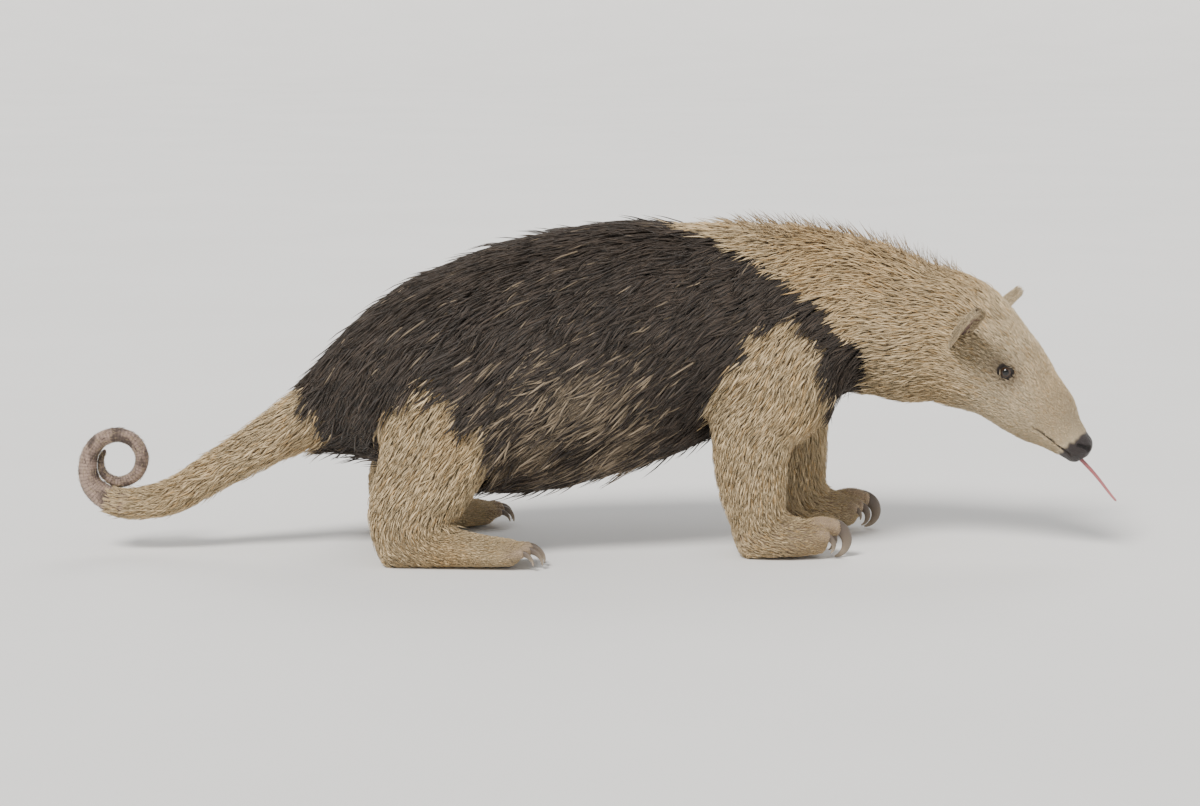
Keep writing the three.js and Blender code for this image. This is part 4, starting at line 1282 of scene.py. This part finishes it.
rng = np.random.default_rng(20)
SPINE_LENGTH = ([6, 9, 10.6, 12, 13.5, 15, 16.2, 16.8], [16, 14, 11, 7.5, 4.4, 3.0, 2.2, 1.4])
LEG_LENGTH = ([0, 2, 4, 5], [15, 12, 9, 7.5])
FOOT_LENGTH = ([0, 1.5, 2.4, 2.8, 3], [7.5, 5.2, 3.6, 2.8, 2.5])
TAIL_LENGTH = ([0, 1, 3, 5, 5.6], [17, 14, 10, 5.5, 3.5])
VEST_LENGTH, VEST_SPREAD = 27, 0.22
WIDTH = ([1.5, 3, 5, 10, 16, 27], [0.32, 0.44, 0.58, 0.92, 1.2, 1.7])
STAND = ([1.5, 3, 5, 10, 16, 27], [0.4, 0.75, 1.1, 2.2, 3.3, 5.4])
DENSITY = ([1.5, 3, 5, 8, 12, 16, 27], [3.2, 2.2, 1.35, 0.85, 0.5, 0.42, 0.26])
THICK_SHARE = 0.42
SINK = 0.9
PATCH = 0.003
MOST_TRIANGLES = 190000
TAPER = ([0, 0.35, 0.75, 1], [0.75, 1.0, 0.68, 0])
# How much the hair of the body turns down, by station
COAT_DROP = ([0, 1.5, 3, 7, 9, 12, 14], [1.1, 0.9, 0.62, 0.5, 0.28, 0.12, 0.0])
FACE_FROM = 12.2

def coat_length(reading, vest):
    """The coat's length at each root, before chance varies it."""
    station = reading.of(reading.station)
    length = np.interp(station, *SPINE_LENGTH)
    tables = ((reading.on_tail, TAIL_LENGTH), (reading.on_leg, LEG_LENGTH), (reading.on_foot, FOOT_LENGTH))
    for here, table in tables:
        length = np.where(here, np.interp(station, *table), length)
    return length * (1 - vest) + VEST_LENGTH * vest


NAIL_POINTS = np.vstack([digit.nail for limb in limbs for digit in limb.digits])
CLAWS_TO_Z = 42


def claw_gap(points):
    """Distance to the nearest claw's middle line, for points on the feet."""
    gap = np.full(len(points), 99.0)
    low = points[:, 2] < CLAWS_TO_Z
    gap[low] = np.linalg.norm(points[low] - NAIL_POINTS[nearest(points[low], NAIL_POINTS)], axis=1)
    return gap


def bare_places(points, normals, reading):
    """1 where no hair grows: the nose, the lips' edge, the eyes' openings, the soles and the tail's curl."""
    bare = nose_mask(reading) > 0.4
    for side in (LEFT, RIGHT):
        bare |= lid_ring(points, side, 1.0) < 1
        bare |= from_lips(points, side)[0] < 0.8
    bare |= (points[:, 2] < 3) & (normals[:, 2] < -0.3)
    bare |= reading.on_tail & (reading.station[TAIL] > BARE_FROM + 0.3)
    return bare | (claw_gap(points) < 1.0)


def lie_of_coat(reading, normals):
    """Which way the hair points: back from the nose, down the legs and flanks, and out along the tail."""
    near = np.exp(-np.clip(reading.distance, 0, None) / 7.0)
    near[TRUNK] *= 1.3
    ways = reading.along.copy()
    ways[TRUNK] = -ways[TRUNK]
    ways[LEGS, :, 0] -= 0.2
    drop = np.interp(reading.station[TRUNK], *COAT_DROP)
    ways[TRUNK, :, 2] -= drop
    return square_to((ways * near[..., None]).sum(axis=0), normals)


def armpit_share(reading, normals):
    """1 in the folds beneath the limbs' roots, where the hair is short."""
    near_leg = 1 - smooth(3.5, 7, reading.distance[LEGS].min(axis=0))
    return near_leg * smooth(0.2, 0.5, -normals[:, 2]) * smooth(48, 66, reading.points[:, 2])


def sow(points, triangles, normals, density):
    """Roots spread evenly by area times density, with the normals there."""
    a, b, c = corners_of(points, triangles)
    weight = np.linalg.norm(np.cross(b - a, c - a), axis=1) / 2 * density
    total = np.cumsum(weight)
    count = int(total[-1])
    draw = (np.arange(count) + rng.random(count)) / count * total[-1]
    corner = triangles[np.minimum(np.searchsorted(total, draw), len(triangles) - 1)]
    u, v = rng.random(count), rng.random(count)
    u, v = np.where(u + v > 1, 1 - u, u), np.where(u + v > 1, 1 - v, v)
    share = np.stack([1 - u - v, u, v], axis=1)[..., None]
    return (points[corner] * share).sum(1), unit((normals[corner] * share).sum(1))


def vary(spread, count):
    """Random factors about 1."""
    return np.exp(rng.normal(0, spread, count))


def tuft_faces(rings):
    """The triangles of one tuft: its root, the sides between its rings and its tip."""
    sides = ((0, 1), (1, 2), (2, 0))
    faces = [(0, 1, 2)]
    for low in range(0, 3 * rings - 3, 3):
        for a, b in sides:
            faces += [(low + a, low + 3 + a, low + 3 + b), (low + a, low + 3 + b, low + b)]
    return np.array(faces + [(3 * rings - 3 + a, 3 * rings, 3 * rings - 3 + b) for a, b in sides])


class Tufts:
    """Closed tapering tufts of three sides. Rings run from the sunk root to the last one before the tip."""

    def __init__(self, centres, ways, normals, widths, colours, flat):
        self.rows, self.flat = (centres, ways, normals, widths, colours), flat

    def split(self, chosen):
        return Tufts(*(row[:, chosen] for row in self.rows), self.flat[chosen])

    def make(self, name, material, slot):
        centres, ways, normals, widths, colours = self.rows
        rings, count = len(centres) - 1, len(self.flat)
        half = unit(np.cross(ways, normals)) * (widths / 2)[..., None]
        raised = normals * widths[..., None] * THICK_SHARE
        sections = np.stack([centres - half, centres + half, centres + raised], axis=2)
        body = sections[:rings].transpose(1, 0, 2, 3).reshape(count, rings * 3, 3)
        points = np.concatenate([body, centres[-1][:, None]], axis=1)
        points[..., 2] = np.maximum(points[..., 2], SOLE / 2)
        template = tuft_faces(rings)
        if not facing_out(points[0], template):
            template = template[:, ::-1]
        faces = (template + (np.arange(count) * points.shape[1])[:, None, None]).reshape(-1, 3)
        made = mesh_object(name, points.reshape(-1, 3), [faces], material)
        shades = np.concatenate([np.repeat(colours[:rings], 3, axis=0), colours[rings:]])
        set_colour(made.data, "tone", shades.transpose(1, 0, 2).reshape(-1, 3))
        along = np.append(np.repeat(np.arange(rings), 3), rings) / rings - 0.5
        sideways = np.append(np.tile([-0.5, 0.5, 0], rings), 0)
        plan = self.flat[:, None] + PATCH * np.stack([along, sideways], -1)
        set_uv(made.data, "OFBake", plan.reshape(-1, 2)[faces.ravel()])
        # Each tuft's strands start at a place of its own in the material's pattern
        turn = np.append(np.tile([0.0, 1.0, 0.5], rings), 0.5)
        strand = (self.flat * 911 % 37)[:, None] + np.stack([along, turn], -1)
        set_uv(made.data, "strand", strand.reshape(-1, 2)[faces.ravel()])
        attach(made, "root")


MOST_PULL_FROM = 20


def clump(centres, roots, clumped, share):
    """Draws the tufts' ends together towards the nearest of a few leading tufts, one in so many."""
    leaders = rng.permutation(len(roots))[:int(len(roots) / clumped)]
    tree = kdtree.KDTree(len(leaders))
    for k, leader in enumerate(leaders):
        tree.insert(roots[leader], k)
    tree.balance()
    own = leaders[np.array([tree.find(p)[1] for p in roots])]
    offset = centres[:, own] - centres
    share = share * (np.linalg.norm(roots[own] - roots, axis=1) < MOST_PULL_FROM)
    pull = np.linspace(0, 1, len(centres))**1.4
    return centres + offset * (pull[:, None] * share)[..., None]


FLAT_RISE = ([0, 0.35, 0.75, 1], [0.1, 0.75, 1.0, 1.12])


def grow(sampler, roots, normals, way, length, stand, standing, shares, wave):
    """The tufts' centre lines: most lie over the skin, and the others leave it in a nearly straight line."""
    centres, ways, outs = [roots - normals * SINK], [way], [normals]
    place = roots
    run = np.sqrt(np.maximum(length**2 - (standing * stand)**2, (0.35 * length)**2))
    for k in range(1, len(shares)):
        place = place + way * (run * (shares[k] - shares[k - 1]))[:, None]
        away, out = sampler(place)
        lying = np.interp(shares[k], *FLAT_RISE)
        height = stand * (lying + standing * (shares[k] - lying))
        place = place + out * (height - away)[:, None]
        way = turn_about(square_to(way, out), out, wave)
        centres.append(place)
        ways.append(way)
        outs.append(out)
    return np.stack(centres), np.stack(ways), np.stack(outs)


def coat_kind(reading, vest):
    """0 for the vest, 1 for the pale body, 2 for the face and 3 for the feet."""
    kind = np.where(vest > 0.5, 0, 1)
    kind = np.where(reading.on_spine & (reading.station[TRUNK] > FACE_FROM), 2, kind)
    return np.where(reading.on_foot, 3, kind)


# Name, slot, share of the density, shares of the length where the rings lie, tufts in a clump and its pull
KINDS = [
    ("coat_vest", "coat_dark", 1.0, (0, 0.34, 0.7), 22, 0.45),
    ("coat_pale", "coat_pale", 0.82, (0, 0.5), 16, 0.25),
    ("coat_face", "coat_pale", 1.0, (0, 0.5), 14, 0.10),
    ("coat_feet", "coat_pale", 0.58, (0, 0.5), 14, 0.12),
]
GOLDEN_TINT = np.array([0.88, 0.78, 0.64])


def tuft_colours(kind, reading, vest, stops):
    """Each tuft's colours from its root to its tip."""
    count = len(vest)
    value = vary(0.13, count)[:, None]
    if kind == 0:
        pale_tuft = (rng.random(count) < grizzle_share(reading))[:, None]
        grizzle = GRIZZLE * np.exp(np.clip(rng.normal(0, 0.35, count), -0.8, 0.35))[:, None]
        tip = np.where(pale_tuft, grizzle, BLACK_TIP * value**2)
        root = np.where(pale_tuft, GRIZZLE * 0.35, BLACK_COAT)
    else:
        tip = pale_tone(reading) * value
        golden = (rng.random(count) < 0.12)[:, None]
        tip = np.where(golden, tip * GOLDEN_TINT, tip)
        stray_dark = rng.random(count) < 0.5 * vest
        tip = np.where(stray_dark[:, None], BLACK_TIP, tip)
        root = tip * 0.66
    shade = np.interp(stops, [0, 0.5, 1], [0, 0.75, 1])[:, None, None]
    return root + (tip - root) * shade


def upright_share(top, station, rise, fall, share):
    """Up to 1 for a share of the tufts on top of the body between two places, and 0 for the rest."""
    return top * smooth(*rise, station) * (1 - smooth(*fall, station)) * (rng.random(len(station)) < share)


def coat_tufts(sampler, kind, roots, out, shares, clumped, together):
    """Tufts of one kind on their roots."""
    count = len(roots)
    here = Reading(roots)
    mask = vest_mask(here)
    station = here.station[TRUNK]
    top = here.on_spine * smooth(0.72, 0.93, out[:, 2])
    nape = upright_share(top, station, (6.2, 7.2), (10.6, 11.2), 0.15)
    bridge = upright_share(top, station, (14.2, 15), (16.3, 16.6), 0.05)
    stray = (rng.random(count) < 0.035) * (kind < 2) * (here.part <= TAIL) * 0.7
    length = coat_length(here, mask) * vary(VEST_SPREAD, count)
    length = np.minimum(length, 1.6 + 0.55 * claw_gap(roots))
    hollow = smooth(-1, 4, here.distance.min(axis=0)) * (here.part > TAIL) * (1 - mask)
    length = length * (1 - 0.6 * hollow) * (1 - 0.72 * armpit_share(here, out))
    stand = np.interp(length, *STAND) * rng.uniform(0.75, 1.2, count)
    under = smooth(0.35, 0.9, -out[:, 2]) * here.on_spine * (station < 9.5)
    length = length * (1 + 0.3 * under + 0.25 * nape + 0.9 * bridge)
    stand = stand * (1 + 0.5 * under) * (1 + 1.4 * stray)
    stand = np.where(nape > 0.3, nape * rng.uniform(10, 16, count), stand)
    stand = np.where(bridge > 0.3, bridge * rng.uniform(2.6, 4.2, count), stand)
    standing = np.clip(nape + bridge + stray, 0, 1)
    sway = rng.normal(0, np.where(kind < 2, 11, 8), count)
    way = turn_about(lie_of_coat(here, out), out, sway)
    stops = np.append(shares, 1)
    wave = rng.normal(0, 5, count)
    centres, ways, outs = grow(sampler, roots, out, way, length, stand, standing, stops, wave)
    centres = clump(centres, roots, clumped, together * (1 - standing))
    taper = np.interp(stops, *TAPER)
    widths = np.interp(length, *WIDTH) * rng.uniform(0.8, 1.25, count) * (1 + 0.05 * standing)
    widths = widths * taper[:, None]
    colours = tuft_colours(kind, here, mask, stops)
    if kind:
        darker = np.linspace(0.3, 0.85, len(colours))[:, None]
        colours = blend(colours, UPRIGHT_TIP, np.clip(nape + bridge, 0, 1) * darker)
    flat = unwrap(here.part, here.of(here.station), here.of(here.angle))
    return Tufts(centres, ways, outs, widths, colours, flat)


def make_coat(sampler, points, triangles, materials):
    """Grows each kind of coat and splits it into pieces along the body, each of few enough triangles."""
    a, b, c = corners_of(points, triangles)
    reading = Reading((a + b + c) / 3)
    vest = vest_mask(reading)
    haired = ~bare_places(reading.points, unit(np.cross(b - a, c - a)), reading)
    thickness = np.interp(coat_length(reading, vest), *DENSITY) * haired
    kinds = coat_kind(reading, vest)
    normals = vertex_normals(points, triangles)
    for kind, (name, slot, share, shares, clumped, together) in enumerate(KINDS):
        roots, out = sow(points, triangles, normals, share * thickness * (kinds == kind))
        tufts = coat_tufts(sampler, kind, roots, out, shares, clumped, together)
        pieces = math.ceil(len(roots) * len(tuft_faces(len(shares))) / MOST_TRIANGLES)
        for k, chosen in enumerate(np.array_split(np.argsort(roots[:, 0], kind="stable"), pieces)):
            tufts.split(chosen).make(f"{name}_{k + 1}", materials[kind], slot)


def short_tufts(root, way, out, length, lifts, widths, colours, flat):
    """Tufts of three rings with given heights over the skin."""
    shares = (0, 0.5, 1)
    centres = np.stack([
        root + way * (length * share)[:, None] + out * lift[:, None] for share, lift in zip(shares, lifts)])
    ways, outs = (np.broadcast_to(a, centres.shape) for a in (way, out))
    return Tufts(centres, ways, outs, widths, colours, flat)


EAR_HAIRS, BRISTLES = 2300, 1500


def make_ear_coat(material):
    """Short hair on the ears' backs and rims, and longer hair inside their front edge."""
    count = EAR_HAIRS
    for word, side in SIDES.items():
        kind = rng.random(count)
        u = rng.uniform(0.12, 0.99, count)**0.8
        v = rng.uniform(-0.96, 0.96, count)
        rim = kind < 0.28
        inner = kind > 0.86
        v = np.where(rim | inner, np.sign(v) * rng.uniform(0.88, 1.0, count), v)
        v = np.where(inner, np.sign(v) * rng.uniform(0.55, 0.92, count), v)
        facing = np.where(inner, 1.0, np.where(rim, rng.uniform(-1, 0.6, count), -1.0))
        root = ear_points(side, u, v, facing)
        up_ear = unit(ear_points(side, u + 0.01, v, facing) - root)
        across = unit(ear_points(side, u, v + 0.01, facing) - root)
        out = unit(np.cross(up_ear, across))
        open_way = ear_frame(side)[2]
        out = out * np.sign(dot(out, open_way) * np.where(facing > 0, 1, -1))[:, None]
        out = unit(out + across * np.where(rim, 1.4 * np.sign(v), 0)[:, None])
        way = unit(up_ear + across * (0.25 * v + rng.normal(0, 0.16, count))[:, None])
        way = square_to(way, out)
        length = np.where(inner, 5.5, 5.0 - 1.8 * u) * vary(0.18, count)
        stand = np.where(rim, 0.9, 0.6) * rng.uniform(0.7, 1.4, count)
        lifts = [stand * lift for lift in (-0.35, 0.75, 1.1)]
        widths = np.array([0.75, 0.9, 0])[:, None] * (0.5 * rng.uniform(0.8, 1.25, count))
        tip = blend(PALE_FACE, PALE_COAT, rng.random(count)) * vary(0.14, count)[:, None]
        colours = np.stack([tip * 0.6, tip * 0.85, tip])
        flat = sheet_map(EAR_SHEETS[side], np.where(facing > 0, (v + 1) / 4, (1 - v) / 4 + 0.5), u)
        tufts = short_tufts(root, way, out, length, lifts, widths, colours, flat)
        tufts.make(f"coat_ear_{word}", material, "coat_pale")


def make_tail_bristles(material):
    """A few short bristles between the rings of the tail's bare end."""
    count = BRISTLES
    station = rng.uniform(BARE_FROM, tail.last - 0.3, count)
    degrees = rng.uniform(0, 360, count)
    root, out, along = tail.place(station, degrees, -0.2)
    size = tail.frame(station)[4][:, 0]
    way = unit(along + np.cross(out, along) * rng.normal(0, 0.2, count)[:, None])
    length = (1.6 + 0.34 * size) * vary(0.2, count)
    lifts = [np.full(count, lift) for lift in (0, 0.45, 0.8)]
    widths = np.array([0.8, 0.9, 0])[:, None] * (0.26 * rng.uniform(0.8, 1.2, count))
    dark = (rng.random(count) < 0.5)[:, None]
    tip = np.where(dark, TAIL_BLOTCH, PALE_COAT * 0.8)
    flat = sheet_map(CURL_SHEET, (station - BARE_FROM) / (tail.last - BARE_FROM), degrees / 360)
    tufts = short_tufts(root, way, out, length, lifts, widths, np.stack([tip * 0.7, tip, tip]), flat)
    tufts.make("tail_bristles", material, "skin_bare")


# The stage


def make_camera():
    """The camera looks at the animal's right side from a little ahead and above."""
    data = bpy.data.cameras.new("camera")
    made = bpy.data.objects.new("camera", data)
    bpy.context.scene.collection.objects.link(made)
    azimuth, elevation = math.radians(VIEW["azimuth"]), math.radians(VIEW["elevation"])
    level_back = math.cos(elevation)
    back = Vector((math.sin(azimuth) * level_back, -math.cos(azimuth) * level_back, math.sin(elevation)))
    made.location = Vector(VIEW["target"]) + back * VIEW["distance"]
    made.rotation_euler = (-back).to_track_quat("-Z", "Y").to_euler()
    data.sensor_width = VIEW["sensor"]
    data.lens = VIEW["sensor"] * VIEW["distance"] / VIEW["width"]
    bpy.context.scene.camera = made


def make_sun(name, towards, strength, width, colour=(1, 1, 1)):
    """A distant soft light from one direction, so many degrees wide."""
    data = bpy.data.lights.new(name, "SUN")
    data.energy, data.angle, data.color = strength, math.radians(width), colour
    made = bpy.data.objects.new(name, data)
    made.rotation_euler = Vector(towards).to_track_quat("Z", "Y").to_euler()
    bpy.context.scene.collection.objects.link(made)


def make_stage():
    """A pale floor that rises into a backdrop far away on every side."""
    radius = np.concatenate([np.linspace(0.4, 9, 12), np.linspace(10, 16, 14)])
    height = 0.9 * np.clip(radius - 9, 0, None)**2 / 7
    phi = np.linspace(0, 2 * np.pi, 96, endpoint=False)
    places = (radius[:, None] * np.cos(phi), radius[:, None] * np.sin(phi), height[:, None])
    rings = np.stack(np.broadcast_arrays(*places), -1)
    count, sides = rings.shape[:2]
    quads = ring_quads(count, sides)[:, [0, 3, 2, 1]]
    points = np.vstack([rings.reshape(-1, 3), [[0, 0, 0]]])
    hub = np.stack([np.full(sides, len(points) - 1), np.arange(sides), (np.arange(sides) + 1) % sides], -1)
    nodes = Nodes("floor", Roughness=0.9, Specular_IOR_Level=0.2)
    grain = nodes.spread(nodes.noise(3, 5), 0.98, 1.02)
    tint = nodes.add("RGB").outputs[0]
    tint.default_value = (0.80, 0.79, 0.77, 1)
    material = nodes.join(Base_Color=nodes.scaled(grain, tint))
    floor = mesh_object("floor", (points - ORIGIN) * 1000, [quads, hub], material)
    world = bpy.data.worlds.new("studio")
    bpy.context.scene.world = world
    world.use_nodes = True
    background = world.node_tree.nodes["Background"]
    background.inputs["Color"].default_value = (0.95, 0.97, 1.0, 1)
    background.inputs["Strength"].default_value = 0.54
    make_sun("key", (-0.9, -1.25, 1.75), 4.1, 20, (1.0, 0.975, 0.94))
    make_sun("fill", (1.6, -1.0, 0.8), 0.4, 50, (0.95, 0.97, 1.0))
    make_sun("rim", (0.6, 1.7, 1.5), 0.9, 30)


VIEW = {
    "target": (0.0035, -0.005, 0.1007), "azimuth": -4, "elevation": 8, "distance": 2.2, "width": 0.84,
    "sensor": 36,
}

make_camera()
make_stage()

grid = skin_grid()
skin_points, skin_triangles = skin_shape(grid)
skin_reading = Reading(skin_points)
make_skin(skin_points, skin_triangles, skin_reading, vest_mask(skin_reading), hide_material())

eyeball, horn = eye_material(), claw_material()
for word, side in SIDES.items():
    make_eye(word, side, eyeball)
for limb in limbs:
    for k, digit in enumerate(limb.digits):
        make_claw(f"nail_{limb.foot_name}_{k + 1}", digit, horn)
make_tongue(tongue_material())

dark_coat = coat_material("coat_black", 0.55, 0.12)
pale_coat = coat_material("coat_buff", 0.68, 0.1)
coats = [dark_coat, pale_coat, pale_coat, pale_coat]
make_coat(Sampler(with_head_detail(grid)), skin_points, skin_triangles, coats)
make_ear_coat(pale_coat)
make_tail_bristles(pale_coat)
